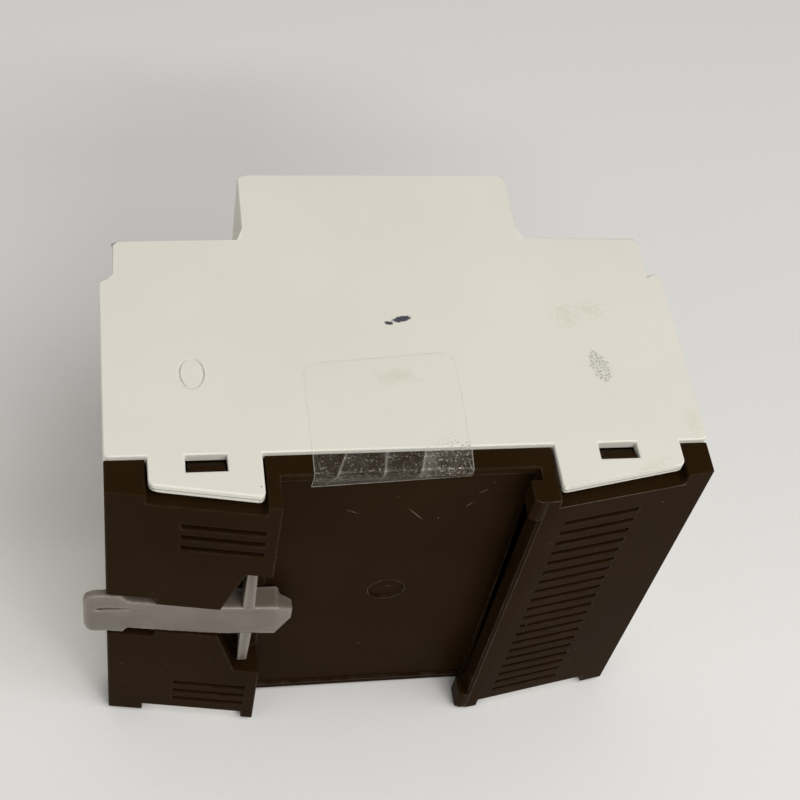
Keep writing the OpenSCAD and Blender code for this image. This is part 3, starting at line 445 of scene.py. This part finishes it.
def overlayFilm(name, look):
    # matt grey film with a printed dark frame line
    material, tree, shader, place = startMaterial(name)
    cloud = noiseValue(tree, place, 12 * mm, 3.0)
    grain = noiseValue(tree, place, 0.18 * mm, 2.0)
    colour = mixColour(tree, spread(tree, cloud, 0.3, 0.7), look["colour"], look["shade"])
    low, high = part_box("front_overlay")
    middle = (low + high) / 2
    half = (high - low) / 2
    values = {"Vector": place, "Location": middle, "Scale": (half.x, 1.0, half.z)}
    local = makeNode(tree, "ShaderNodeMapping", values, vector_type="TEXTURE").outputs["Vector"]
    parts = makeNode(tree, "ShaderNodeSeparateXYZ", {"Vector": local})

    def fromEdge(axis, halfSize):
        inward = calc(tree, "SUBTRACT", 1.0, calc(tree, "ABSOLUTE", parts.outputs[axis]))
        return calc(tree, "MULTIPLY", inward, halfSize / mm)

    inset = calc(tree, "MINIMUM", fromEdge("X", half.x), fromEdge("Z", half.z))
    outer = calc(tree, "GREATER_THAN", inset, look["lineFrom"])
    line = calc(tree, "MULTIPLY", outer, calc(tree, "LESS_THAN", inset, look["lineTo"]))
    colour = mixColour(tree, line, colour, look["line"])
    tree.links.new(colour, shader.inputs["Base Color"])
    tree.links.new(spread(tree, grain, 0.3, 0.7, 0.42, 0.54), shader.inputs["Roughness"])
    tree.links.new(bumpNormal(tree, grain, 0.008 * mm), shader.inputs["Normal"])
    return material


finishes = {
    "cover_plastic": coverPlastic("coverPlastic", coverMarks),
    "base_plastic": basePlastic("basePlastic", baseLook),
    "clip_nylon": milkyNylon("milkyNylon", nylonLook),
    "clear_film": clearFilm("clearFilm", filmLook),
    "overlay_film": overlayFilm("overlayFilm", overlayLook),
    "smoked_window": seeThrough("smokedWindow", {
        "colour": (0.012, 0.006, 0.006), "shade": (0.016, 0.008, 0.008), "rough": 0.06, "alpha": 0.92}),
    "clear_acrylic": seeThrough("clearAcrylic", {
        "colour": (0.80, 0.84, 0.84), "shade": (0.72, 0.77, 0.77), "rough": 0.06, "alpha": 0.45}),
    "led_lens": mouldedPlastic("ledLens", {
        "colour": (0.42, 0.66, 0.30), "shade": (0.34, 0.58, 0.25),
        "rough": 0.25, "cloud": 1.5, "grain": 0.2}),
    "connector_plastic": mouldedPlastic("connectorPlastic", {
        "colour": (0.022, 0.022, 0.024), "shade": (0.03, 0.03, 0.032),
        "rough": 0.42, "wear": (0.12, 0.12, 0.12)}),
    "gold_plate": platedMetal("goldPlate", {
        "colour": (0.84, 0.62, 0.27), "shade": (0.72, 0.52, 0.22), "bright": (0.95, 0.76, 0.4),
        "rough": 0.24}),
    "tinned_steel": platedMetal("tinnedSteel", {
        "colour": (0.64, 0.65, 0.66), "shade": (0.54, 0.55, 0.56), "bright": (0.82, 0.82, 0.82),
        "rough": 0.32}),
    "button_plastic": mouldedPlastic("buttonPlastic", {
        "colour": (0.05, 0.12, 0.33), "shade": (0.04, 0.10, 0.29),
        "rough": 0.3, "cloud": 4, "wear": (0.2, 0.27, 0.42)}),
    "terminal_plastic": mouldedPlastic("terminalPlastic", {
        "colour": (0.055, 0.06, 0.063), "shade": (0.07, 0.074, 0.078),
        "rough": 0.44, "wear": (0.18, 0.18, 0.18)}),
    "screw_steel": platedMetal("screwSteel", {
        "colour": (0.60, 0.61, 0.62), "shade": (0.47, 0.47, 0.47), "bright": (0.8, 0.8, 0.8), "rough": 0.3}),
    "cage_brass": platedMetal("cageBrass", {
        "colour": (0.66, 0.62, 0.50), "shade": (0.55, 0.50, 0.38), "bright": (0.82, 0.78, 0.66),
        "rough": 0.3}),
    "tinned_brass": platedMetal("tinnedBrass", {
        "colour": (0.66, 0.64, 0.57), "shade": (0.56, 0.52, 0.42), "bright": (0.8, 0.78, 0.7),
        "rough": 0.34}),
    "board_laminate": boardLaminate("boardLaminate", boardLook),
    "spacer_nylon": mouldedPlastic("spacerNylon", {
        "colour": (0.66, 0.65, 0.60), "shade": (0.6, 0.59, 0.54), "rough": 0.42}),
    "chip_plastic": mouldedPlastic("chipPlastic", {
        "colour": (0.016, 0.016, 0.018), "shade": (0.024, 0.024, 0.026),
        "rough": 0.5, "grain": 0.15, "depth": 0.012}),
    "cell_steel": platedMetal("cellSteel", {
        "colour": (0.66, 0.67, 0.68), "shade": (0.6, 0.61, 0.62), "bright": (0.84, 0.84, 0.84),
        "rough": 0.2}),
    "relay_plastic": mouldedPlastic("relayPlastic", {
        "colour": (0.02, 0.06, 0.20), "shade": (0.025, 0.075, 0.235),
        "rough": 0.32, "wear": (0.16, 0.2, 0.32)}),
    "ferrite": mouldedPlastic("ferrite", {
        "colour": (0.035, 0.035, 0.037), "shade": (0.05, 0.05, 0.052),
        "rough": 0.6, "grain": 0.12, "depth": 0.03}),
    "winding_tape": mouldedPlastic("windingTape", {
        "colour": (0.66, 0.50, 0.10), "shade": (0.58, 0.42, 0.08), "rough": 0.26, "cloud": 5}),
    "sleeve_plastic": mouldedPlastic("sleevePlastic", {
        "colour": (0.018, 0.03, 0.10), "shade": (0.022, 0.036, 0.12), "rough": 0.28, "cloud": 6}),
    "opto_plastic": mouldedPlastic("optoPlastic", {
        "colour": (0.72, 0.71, 0.66), "shade": (0.66, 0.65, 0.60), "rough": 0.5}),
    "varistor_coating": mouldedPlastic("varistorCoating", {
        "colour": (0.02, 0.09, 0.30), "shade": (0.03, 0.11, 0.34),
        "rough": 0.3, "grain": 0.8, "depth": 0.06}),
    "fuse_ceramic": mouldedPlastic("fuseCeramic", {
        "colour": (0.68, 0.63, 0.52), "shade": (0.60, 0.55, 0.45), "rough": 0.3}),
}
slotOf = {part["node"]: part["material_slot"] for part in frame["record"]["subparts"]}
print("finishes made,", len(finishes))


def openCopy(node):
    # the node's shape as a bmesh, merged and with its flat faces joined
    shape = bmesh.new()
    shape.from_mesh(frame["nodes"][node].data)
    bmesh.ops.remove_doubles(shape, verts=shape.verts, dist=0.002 * mm)
    bmesh.ops.dissolve_limit(shape, angle_limit=math.radians(1.0), verts=shape.verts, edges=shape.edges)
    bmesh.ops.recalc_face_normals(shape, faces=shape.faces)
    return shape


def hasRoom(edge, width):
    # the edges that meet this one have to be longer than two roundings, unless they carry on from it
    for vert in edge.verts:
        along = (edge.other_vert(vert).co - vert.co).normalized()
        for other in vert.link_edges:
            if other == edge:
                continue
            away = other.other_vert(vert).co - vert.co
            if away.length < 2.1 * width and away.normalized().dot(along) > -0.8:
                return False
    return True


def roundEdges(shape, width, segments, chooser=None, sharper=28):
    edges = [edge for edge in shape.edges if len(edge.link_faces) == 2
             and edge.calc_face_angle(0) > math.radians(sharper) and (chooser is None or chooser(edge))
             and hasRoom(edge, width)]
    slack = 0.001 * mm
    low = [min(vert.co[i] for vert in shape.verts) - slack for i in range(3)]
    high = [max(vert.co[i] for vert in shape.verts) + slack for i in range(3)]
    bmesh.ops.bevel(shape, geom=edges, offset=width, offset_type="OFFSET", affect="EDGES", segments=segments,
                    profile=0.5, material=-1, clamp_overlap=False)
    for vert in shape.verts:           # a corner that overshoots goes back among its neighbours
        if any(vert.co[i] < low[i] or vert.co[i] > high[i] for i in range(3)):
            near = [edge.other_vert(vert).co for edge in vert.link_edges]
            inside = [co for co in near if all(low[i] <= co[i] <= high[i] for i in range(3))]
            vert.co = sum(inside, Vector()) / len(inside)


shading = {"sharpAngle": 48, "flatArea": 4, "flatWidth": 0.6}     # degrees, square mm, mm


def keepFlat(mesh, settings):
    # large faces stay truly flat beside their rounded edges
    for face in mesh.polygons:
        edges = [mesh.edges[mesh.loops[i].edge_index] for i in face.loop_indices]
        ends = [[mesh.vertices[i].co for i in edge.vertices] for edge in edges]
        around = sum((first - second).length for first, second in ends)
        if face.area > settings["flatArea"] * mm * mm and 2 * face.area / around > settings["flatWidth"] * mm:
            for edge in edges:
                edge.use_edge_sharp = True


def makePiece(name, shape, body, slotName, replaced=(), smooth=True):
    mesh = bpy.data.meshes.new(name)
    shape.to_mesh(mesh)
    shape.free()
    piece = bpy.data.objects.new(name, mesh)
    scene.collection.objects.link(piece)
    mesh.materials.append(finishes[slotName])
    for face in mesh.polygons:
        face.use_smooth = smooth
    if smooth:
        firm = piece.modifiers.new("firmNormals", "WEIGHTED_NORMAL")
        firm.keep_sharp = True
        firm.weight = 100
        mesh.set_sharp_from_angle(angle=math.radians(shading["sharpAngle"]))
        keepFlat(mesh, shading)
    if body:
        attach(piece, body)
    if replaced:
        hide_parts(*replaced)
    return piece


def cutAway(shape, tool):
    # takes the closed shape tool out of shape, and returns the result
    holders = []
    for part in (shape, tool):
        mesh = bpy.data.meshes.new("cutting")
        part.to_mesh(mesh)
        part.free()
        holder = bpy.data.objects.new("cutting", mesh)
        scene.collection.objects.link(holder)
        holders.append(holder)
    cutter = holders[0].modifiers.new("cut", "BOOLEAN")
    cutter.operation = "DIFFERENCE"
    cutter.solver = "EXACT"
    cutter.object = holders[1]
    bpy.context.view_layer.update()
    graph = bpy.context.evaluated_depsgraph_get()
    result = bmesh.new()
    result.from_object(holders[0], graph)
    for holder in holders:
        mesh = holder.data
        bpy.data.objects.remove(holder)
        bpy.data.meshes.remove(mesh)
    bmesh.ops.remove_doubles(result, verts=result.verts, dist=0.002 * mm)
    bmesh.ops.dissolve_limit(result, angle_limit=math.radians(1.0), verts=result.verts, edges=result.edges)
    return result


cover = {
    "corner": 0.9,       # radius of the outline's corners
    "edge": 0.22,        # rounding of all other edges
    "ringAt": (32.0, -17.9),
    "ringSize": (4.1, 5.9),
    "ringLine": 0.55,
    "ringDepth": 0.3,
}


def ringTool(settings):
    # an oval tube with a square section, standing across the side panel's face
    tool = bmesh.new()
    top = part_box("front_cover")[1].z
    for grow in (0.0, -settings["ringLine"]):
        circle = bmesh.ops.create_circle(tool, segments=48, radius=0.5)["verts"]
        size = [settings["ringSize"][0] + 2 * grow, settings["ringSize"][1] + 2 * grow]
        bmesh.ops.scale(tool, verts=circle, vec=(size[0] * mm, size[1] * mm, 1))
    band = bmesh.ops.bridge_loops(tool, edges=tool.edges[:])["faces"]
    lifted = bmesh.ops.extrude_face_region(tool, geom=band)["geom"]
    topVerts = [part for part in lifted if isinstance(part, bmesh.types.BMVert)]
    bmesh.ops.translate(tool, verts=topVerts, vec=(0, 0, 2 * mm))
    place = (settings["ringAt"][0] * mm, settings["ringAt"][1] * mm, top - settings["ringDepth"] * mm)
    bmesh.ops.translate(tool, verts=tool.verts, vec=place)
    bmesh.ops.recalc_face_normals(tool, faces=tool.faces)
    return tool


def makeCover(settings):
    shape = cutAway(openCopy("front_cover"), ringTool(settings))
    low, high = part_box("front_cover")
    tall = (high.z - low.z) * 0.9

    def outlineCorner(edge):
        side = edge.verts[0].co - edge.verts[1].co
        upright = abs(side.z) > 1.2 * mm and abs(side.y) < 0.1 * mm and abs(side.x) < 0.1 * mm
        onTab = min(vert.co.y for vert in edge.verts) > 0.4 * mm
        return abs(side.z) > tall or (upright and onTab)

    roundEdges(shape, settings["corner"] * mm, 4, outlineCorner, 60)
    roundEdges(shape, settings["edge"] * mm, 2)
    return makePiece("coverShell", shape, "housing", "cover_plastic", ["front_cover"])


coverShell = makeCover(cover)
print("cover made,", len(coverShell.data.polygons), "faces")


base = {"edge": 0.22, "segments": 3, "gateEdge": 0.38, "gateReach": 3.3}


def makeBase(settings):
    shape = openCopy("rear_base")
    low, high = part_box("clip_spring")
    middle = (low.z + high.z) / 2

    def gateRim(edge):
        # the round pocket in the channel floor
        near = all(math.hypot(vert.co.x, vert.co.z - middle) < settings["gateReach"] * mm
                   and vert.co.y > -0.5 * mm for vert in edge.verts)
        return near and edge.calc_length() < 1.2 * mm

    roundEdges(shape, settings["gateEdge"] * mm, 4, gateRim)
    roundEdges(shape, settings["edge"] * mm, settings["segments"])
    return makePiece("baseShell", shape, "housing", "base_plastic", ["rear_base"])


baseShell = makeBase(base)
print("base made,", len(baseShell.data.polygons), "faces")


clip = {
    "crown": 1.4,        # rounding of the bar's rear edges
    "grid": 0.2,
    "softening": 12,
    "armWidth": 2.0,
    "armRoot": 3.6,      # distances of the arm's root and of the start of its bend from the bar's middle
    "armBend": 4.3,
    "armRound": 0.3,
    "armSteps": 12,
    "armTaper": 0.82,
}


def makeClip(settings):
    shape = openCopy("rail_clip")
    low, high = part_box("clip_spring")
    middle = (low.z + high.z) / 2

    def crownEdge(edge):
        # the long rear edges of the bar
        side = edge.verts[0].co - edge.verts[1].co
        centre = (edge.verts[0].co + edge.verts[1].co) / 2
        return (abs(side.x) > 0.8 * side.length and side.length > 2 * mm and centre.y > 1.5 * mm
                and abs(centre.z - middle) > 3 * mm)

    roundEdges(shape, settings["crown"] * mm, 5, crownEdge, 40)
    piece = makePiece("railClip", shape, "clip", "clip_nylon", ["rail_clip"])
    piece.modifiers.clear()
    even = piece.modifiers.new("evenGrid", "REMESH")
    even.mode = "VOXEL"
    even.voxel_size = settings["grid"] * mm
    even.use_smooth_shade = True
    soft = piece.modifiers.new("softened", "SMOOTH")
    soft.factor = 0.5
    soft.iterations = settings["softening"]
    return piece


def makeArm(name, side, settings):
    # side +1 is the arm towards +Z; it runs straight from the clip's bar to its tip in the base and narrows
    # towards the tip
    low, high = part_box("clip_spring")
    middle = (low.z + high.z) / 2
    root = middle + side * settings["armRoot"] * mm
    tip = high.z if side > 0 else low.z
    shape = bmesh.new()
    bmesh.ops.create_cube(shape, size=1.0)
    width = settings["armWidth"] * mm
    bmesh.ops.scale(shape, verts=shape.verts, vec=(width, high.y - low.y, abs(tip - root)))
    centre = (low.x + width / 2, (low.y + high.y) / 2, (root + tip) / 2)
    bmesh.ops.translate(shape, verts=shape.verts, vec=centre)
    roundEdges(shape, settings["armRound"] * mm, 2)
    for step in range(1, settings["armSteps"]):
        height = root + (tip - root) * step / settings["armSteps"]
        everything = shape.verts[:] + shape.edges[:] + shape.faces[:]
        bmesh.ops.bisect_plane(shape, geom=everything, plane_co=(0, 0, height), plane_no=(0, 0, 1))
    for vert in shape.verts:
        share = (vert.co.z - root) / (tip - root)      # 0 at the bar, 1 at the tip
        scale = 1 - (1 - settings["armTaper"]) * share
        vert.co.x = centre[0] + (vert.co.x - centre[0]) * scale
        vert.co.y = low.y + (vert.co.y - low.y) * scale
    bmesh.ops.recalc_face_normals(shape, faces=shape.faces)
    arm = makePiece(name, shape, None, "clip_nylon", ["clip_spring"])
    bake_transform(arm)
    return arm


railClip = makeClip(clip)
armUpper = makeArm("springArmUpper", 1, clip)
armLower = makeArm("springArmLower", -1, clip)
print("clip made")


film = {
    "plusEdge": 15.4, "minusEdge": -8.2,     # side edges, x
    "startPlus": -19.3, "startMinus": -20.9,  # end on the side panel, y at the two edges
    "endPlus": 67.4, "endMinus": 69.0,        # end in the channel, z at the two edges
    "pathStart": -21, "pathEnd": 66.5,        # y and z between which the film's line is laid
    "panelLength": 17.4,                      # from the start of that line to where it leaves the panel
    "corner": 2.4, "thick": 0.05, "top": 72.055, "columns": 112, "rows": 110,
    # each crease: x where it leaves the panel, lean, height, share of painted sheen beside it
    "creases": [(10.2, 2.6, 0.14, 0.35), (4.4, 1.0, 0.1, 0.22), (-1.4, 1.6, 0.16, 1.0)],
    "creaseWidth": 0.7, "lineWidth": 0.14, "lineShine": 0.6, "sheenReach": 3.5,
    "edgeLine": 0.2,                          # width of the painted highlight line round the film
}


def filmPath(settings):
    # the film's line across the fold: y and z of its under side, on panel, step, rim and channel floor
    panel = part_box("front_cover")[1].z + 0.02 * mm
    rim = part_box("rear_base")[1].z + 0.03 * mm
    return [(settings["pathStart"] * mm, panel), (-4.4 * mm, panel), (-3.7 * mm, panel),
            (-3.0 * mm, rim + 0.35 * mm), (-2.0 * mm, rim + 0.06 * mm), (-0.7 * mm, rim),
            (-0.15 * mm, rim - 0.03 * mm), (0.05 * mm, rim - 0.25 * mm), (0.06 * mm, rim - 1.0 * mm),
            (0.05 * mm, rim - 1.5 * mm), (-0.1 * mm, rim - 1.9 * mm), (-0.33 * mm, rim - 2.6 * mm),
            (-0.36 * mm, settings["pathEnd"] * mm)]


def pointOnPath(path, share):
    lengths = [math.dist(path[i], path[i + 1]) for i in range(len(path) - 1)]
    left = share * sum(lengths)
    for i, length in enumerate(lengths):
        if left <= length or i == len(lengths) - 1:
            part = min(left / length, 1.0)
            start, end = path[i], path[i + 1]
            place = (start[0] + (end[0] - start[0]) * part, start[1] + (end[1] - start[1]) * part)
            slope = math.atan2(end[1] - start[1], end[0] - start[0])
            return place, slope
        left -= length


def between(first, second, share):
    return first * (1 - share) + second * share


def limited(value):
    return max(0.0, min(1.0, value))


def cornerPull(near, corner):
    # how far the side edges draw in at the film's rounded corners
    if near >= corner:
        return 0.0
    left = corner - near
    return corner - math.sqrt(max(corner ** 2 - left ** 2, 0))


def creaseShape(x, run, settings):
    # height, painted sheen and painted highlight line that the creases give the film at x, at the distance
    # run along it
    height = sheen = line = 0.0
    for start, lean, depth, reach in settings["creases"]:
        offset = x - start - lean * (run - settings["panelLength"]) / 6
        height += depth * math.exp(-(offset / settings["creaseWidth"]) ** 2)
        line = max(line, settings["lineShine"] * math.exp(-(offset / settings["lineWidth"]) ** 2))
        if offset < 0:                            # painted sheen on one side of a crease
            sheen = max(sheen, reach * math.exp(offset / (settings["sheenReach"] * reach)))
    return height, sheen, line


def makeFilm(settings):
    path = filmPath(settings)
    total = sum(math.dist(path[i], path[i + 1]) for i in range(len(path) - 1)) / mm
    centre = (settings["minusEdge"] + settings["plusEdge"]) / 2
    half = (settings["plusEdge"] - settings["minusEdge"]) / 2
    shape = bmesh.new()
    bmesh.ops.create_grid(shape, x_segments=settings["columns"], y_segments=settings["rows"], size=1.0)
    paintedCreaseSheen = shape.verts.layers.float.new("paintedCreaseSheen")
    rim = shape.verts.layers.float.new("rim")
    dust = shape.verts.layers.float.new("dust")
    for vert in shape.verts:
        across = (vert.co.x + 1) / 2                 # 0 at the -X edge, 1 at the +X edge
        along = (vert.co.y + 1) / 2                  # 0 on the panel, 1 in the channel
        first = -settings["pathStart"] + between(settings["startMinus"], settings["startPlus"], across)
        last = total - (between(settings["endMinus"], settings["endPlus"], across) - settings["pathEnd"])
        run = first + (last - first) * along
        near = run - first
        x = between(settings["minusEdge"], settings["plusEdge"], across)
        x += 0.12 * noise.noise(Vector((0.3 * run, across * 2, 5.0)))
        x = centre + (x - centre) * (half - cornerPull(near, settings["corner"])) / half
        place, slope = pointOnPath(path, run / total)
        fold = limited((run - settings["panelLength"] + 0.4) / 1.6) * limited((last - run) / 3.5)
        height, sheen, line = creaseShape(x, run, settings)
        height += 0.05 * (1 + noise.noise(Vector((x * 0.35, run * 0.3, 1.0))))
        bubble = 0.035 * max(0.0, noise.noise(Vector((x * 0.25, run * 0.25, 9.0)))) * (1 - fold)
        up = (height * fold + bubble) * mm
        normal = (-math.sin(slope), math.cos(slope))
        y = place[0] + normal[0] * up
        z = place[1] + normal[1] * up
        vert.co = (x * mm, y, min(z, settings["top"] * mm))
        # painted sheen beside the creases
        vert[paintedCreaseSheen] = fold * sheen * (0.6 + 0.8 * noise.noise(Vector((x * 0.4, run * 0.9, 3.0))))
        side = min(across, 1 - across) * 2 * half
        # painted highlight lines: along the film's edges and along the creases
        atEdge = min(side, last - run) < settings["edgeLine"] or near < 0.25
        outline = 1.0 if atEdge else 0.0
        vert[rim] = max(outline, line * fold)
        vert[dust] = limited(1.3 - abs(x + 6) / 4) * limited((run - 15) / 2) + 0.2 * fold
    bmesh.ops.recalc_face_normals(shape, faces=shape.faces)
    if sum(face.normal.z for face in shape.faces) < 0:
        bmesh.ops.reverse_faces(shape, faces=shape.faces)
    start = (settings["startMinus"] + settings["startPlus"]) / 2 - settings["pathStart"]
    end = total - (settings["endMinus"] + settings["endPlus"]) / 2 + settings["pathEnd"]
    print("film laid flat:", round(2 * half, 1), "x", round(end - start, 1), "mm")
    sheet = makePiece("sealFilm", shape, "housing", "clear_film", ["seal_tape"])
    sheet.modifiers.clear()
    depth = sheet.modifiers.new("filmDepth", "SOLIDIFY")
    depth.thickness = settings["thick"] * mm
    depth.offset = 1.0
    return sheet


sealFilm = makeFilm(film)
print("film made")


rounding = {
    "front_overlay": 0.04, "status_window": 0.12, "light_pipes": 0.08, "status_leds": 0.1, "port_flap": 0.18,
    "programming_port": 0.12, "port_pins": 0.08, "mode_switch": 0.1, "switch_body": 0.15, "reset_button": 0.2,
    "reset_switch": 0.12, "terminal_block_upper": 0.12, "terminal_block_lower": 0.12,
    "terminal_screws_upper": 0.12, "terminal_screws_lower": 0.12, "clamp_cages_upper": 0.1,
    "clamp_cages_lower": 0.1, "terminal_pins_upper": 0.08, "terminal_pins_lower": 0.08, "main_board": 0.06,
    "io_board": 0.06, "board_spacers": 0.12, "board_screws": 0.12, "board_header": 0.1, "processor": 0.06,
    "memory_chips": 0.06, "crystal": 0.25, "cell_holder": 0.15, "coin_cell": 0.25, "relays": 0.3,
    "transformer_core": 0.25, "transformer_winding": 0.6, "capacitors": 0.3, "optocouplers": 0.15,
    "varistor": 0.5, "fuse": 0.15,
}


def finishNode(node, width):
    part = frame["nodes"][node]
    weld = part.modifiers.new("weld", "WELD")
    weld.merge_threshold = 0.002 * mm
    flat = part.modifiers.new("flat", "DECIMATE")
    flat.decimate_type = "DISSOLVE"
    flat.angle_limit = math.radians(1.0)
    bevel = part.modifiers.new("roundEdges", "BEVEL")
    bevel.width = width * mm
    bevel.segments = 2
    bevel.limit_method = "ANGLE"
    bevel.angle_limit = math.radians(30)
    bevel.use_clamp_overlap = True
    firm = part.modifiers.new("firmNormals", "WEIGHTED_NORMAL")
    firm.keep_sharp = True
    firm.weight = 100
    part.data.materials.clear()
    part.data.materials.append(finishes[slotOf[node]])


for nodeName, edgeWidth in rounding.items():
    finishNode(nodeName, edgeWidth)
for nodeName in ("front_cover", "rear_base", "rail_clip", "clip_spring", "seal_tape"):
    frame["nodes"][nodeName].data.materials.clear()
    frame["nodes"][nodeName].data.materials.append(finishes[slotOf[nodeName]])
print("nodes finished,", len(rounding))


numbers = {
    "height": 1.7, "thick": 0.03, "poles": 12,
    "column": 31.2,      # distance of the terminals' numbers from the middle, x
    "shoulder": -43.8,   # the face they lie on, y
    "screwInset": 1.75,  # from the end of the row to the first screw's middle
    "lampColumn": -3.9, "lampInset": 0.8,
}


def makeNumbers(name, places, turn, settings, slotName):
    # places is a list of (text, point); the figures lie on the faces that look towards -Y
    shape = bmesh.new()
    for text, point in places:
        curve = bpy.data.curves.new("figure", "FONT")
        curve.body = text
        curve.size = settings["height"] * mm
        curve.extrude = settings["thick"] * mm
        curve.align_x = "CENTER"
        curve.align_y = "CENTER"
        curve.resolution_u = 3
        holder = bpy.data.objects.new("figure", curve)
        scene.collection.objects.link(holder)
        bpy.context.view_layer.update()
        mesh = bpy.data.meshes.new_from_object(holder)
        upright = Matrix.Rotation(turn, 4, "Y") @ Matrix.Rotation(math.radians(90), 4, "X")
        mesh.transform(Matrix.Translation(point) @ upright)
        shape.from_mesh(mesh)
        bpy.data.objects.remove(holder)
        bpy.data.curves.remove(curve)
        bpy.data.meshes.remove(mesh)
    bmesh.ops.remove_doubles(shape, verts=shape.verts, dist=0.0005 * mm)
    bmesh.ops.recalc_face_normals(shape, faces=shape.faces)
    return makePiece(name, shape, "housing", slotName, smooth=False)


def terminalPlaces(settings):
    places = []
    for side, node in ((1, "terminal_screws_lower"), (-1, "terminal_screws_upper")):
        low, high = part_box(node)
        pitch = (high.z - low.z - 2 * settings["screwInset"] * mm) / (settings["poles"] - 1)
        for index in range(settings["poles"]):
            z = low.z + settings["screwInset"] * mm + index * pitch
            number = index + 1 if side > 0 else index + 1 + settings["poles"]
            point = Vector((side * settings["column"] * mm, settings["shoulder"] * mm, z))
            places.append((str(number), point))
    return places


def lampPlaces(settings):
    low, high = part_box("status_leds")
    pitch = (high.z - low.z - 2 * settings["lampInset"] * mm) / (settings["poles"] - 1)
    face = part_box("front_overlay")[0].y
    places = []
    for index in range(settings["poles"]):
        z = low.z + settings["lampInset"] * mm + index * pitch
        places.append((str(index), Vector((settings["lampColumn"] * mm, face, z))))
    return places


makeNumbers("terminalNumbers", terminalPlaces(numbers), math.radians(-90), numbers, "connector_plastic")
makeNumbers("lampNumbers", lampPlaces(numbers), math.radians(-90), numbers, "connector_plastic")
print("numbers made")


studio = {
    "floor": (0.82, 0.81, 0.79), "floorSize": 3.0,
    "world": {"Color": (1.0, 0.98, 0.95, 1.0), "Strength": 0.36},
    "backdrop": {"Color": (0.93, 0.92, 0.90, 1.0), "Strength": 0.9},
    "target": (0, -0.025, 0.036),
    "keyPower": 2.2, "keySize": 0.42, "keyAt": (-0.26, 0.20, 0.70),
    "fillPower": 0.6, "fillSize": 0.5, "fillAt": (0.60, 0.25, 0.35),
    "stripPower": 1.3, "stripSize": (0.40, 0.045), "stripAt": (-0.115, 0.44, 0.42),
}


def makeFloor(settings):
    shape = bmesh.new()
    bmesh.ops.create_grid(shape, x_segments=2, y_segments=2, size=settings["floorSize"])
    bmesh.ops.translate(shape, verts=shape.verts, vec=(0, 0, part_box("front_cover")[0].z - 0.02 * mm))
    mesh = bpy.data.meshes.new("floor")
    shape.to_mesh(mesh)
    shape.free()
    floor = bpy.data.objects.new("floor", mesh)
    scene.collection.objects.link(floor)
    material, tree, shader, place = startMaterial("floorPaper")
    grain = noiseValue(tree, place, 0.6 * mm, 3.0)
    darker = tuple(0.97 * v for v in settings["floor"])
    tint = mixColour(tree, spread(tree, grain, 0.3, 0.7), settings["floor"], darker)
    tree.links.new(tint, shader.inputs["Base Color"])
    shader.inputs["Roughness"].default_value = 0.9
    shader.inputs["Specular IOR Level"].default_value = 0.1
    mesh.materials.append(material)


def makeLamp(name, place, size, power, target):
    light = bpy.data.lights.new(name, "AREA")
    light.shape = "SQUARE"
    light.size = size
    light.energy = power
    lamp = bpy.data.objects.new(name, light)
    scene.collection.objects.link(lamp)
    aim = (Vector(target) - Vector(place)).to_track_quat("-Z", "Y")
    lamp.matrix_world = Matrix.Translation(place) @ aim.to_matrix().to_4x4()
    return lamp


def makeStudio(settings):
    makeFloor(settings)
    target = settings["target"]
    makeLamp("keyLamp", settings["keyAt"], settings["keySize"], settings["keyPower"], target)
    makeLamp("fillLamp", settings["fillAt"], settings["fillSize"], settings["fillPower"], target)
    length, width = settings["stripSize"]
    strip = makeLamp("stripLamp", settings["stripAt"], length, settings["stripPower"], target)
    strip.data.shape = "RECTANGLE"
    strip.data.size_y = width
    along = Vector((1, 0, 0))
    back = (Vector(settings["stripAt"]) - Vector(target)).normalized()
    along = (along - back * along.dot(back)).normalized()
    turn = Matrix((along, back.cross(along), back)).transposed().to_4x4()
    strip.matrix_world = Matrix.Translation(settings["stripAt"]) @ turn
    world = bpy.data.worlds.new("studio")
    world.use_nodes = True
    tree = world.node_tree
    tree.nodes.clear()
    path = tree.nodes.new("ShaderNodeLightPath")
    seen = calc(tree, "MAXIMUM", path.outputs["Is Camera Ray"], path.outputs["Is Transmission Ray"])
    seen = calc(tree, "MAXIMUM", seen, path.outputs["Is Glossy Ray"])
    soft = makeNode(tree, "ShaderNodeBackground", settings["world"])
    pale = makeNode(tree, "ShaderNodeBackground", settings["backdrop"])
    mixed = makeNode(tree, "ShaderNodeMixShader", {0: seen, 1: soft.outputs[0], 2: pale.outputs[0]})
    output = tree.nodes.new("ShaderNodeOutputWorld")
    tree.links.new(mixed.outputs[0], output.inputs["Surface"])
    scene.world = world
    scene.view_settings.view_transform = "Standard"


camera = {
    "at": (45.219, 118.589, 257.470),
    "right": (-0.98156, 0.12908, 0.14101),
    "forward": (-0.18968, -0.56579, -0.80244),
    "lens": 69.90,
}


def makeCamera(settings):
    data = bpy.data.cameras.new("camera")
    data.sensor_width = 36.0
    data.lens = settings["lens"]
    data.clip_start = 0.01
    data.clip_end = 20.0
    eye = bpy.data.objects.new("camera", data)
    scene.collection.objects.link(eye)
    back = -Vector(settings["forward"]).normalized()
    right = Vector(settings["right"])
    right = (right - back * right.dot(back)).normalized()
    up = back.cross(right)
    turn = Matrix((right, up, back)).transposed().to_4x4()
    eye.matrix_world = Matrix.Translation(Vector(settings["at"]) * mm) @ turn
    scene.camera = eye


makeStudio(studio)
makeCamera(camera)
print("studio ready")
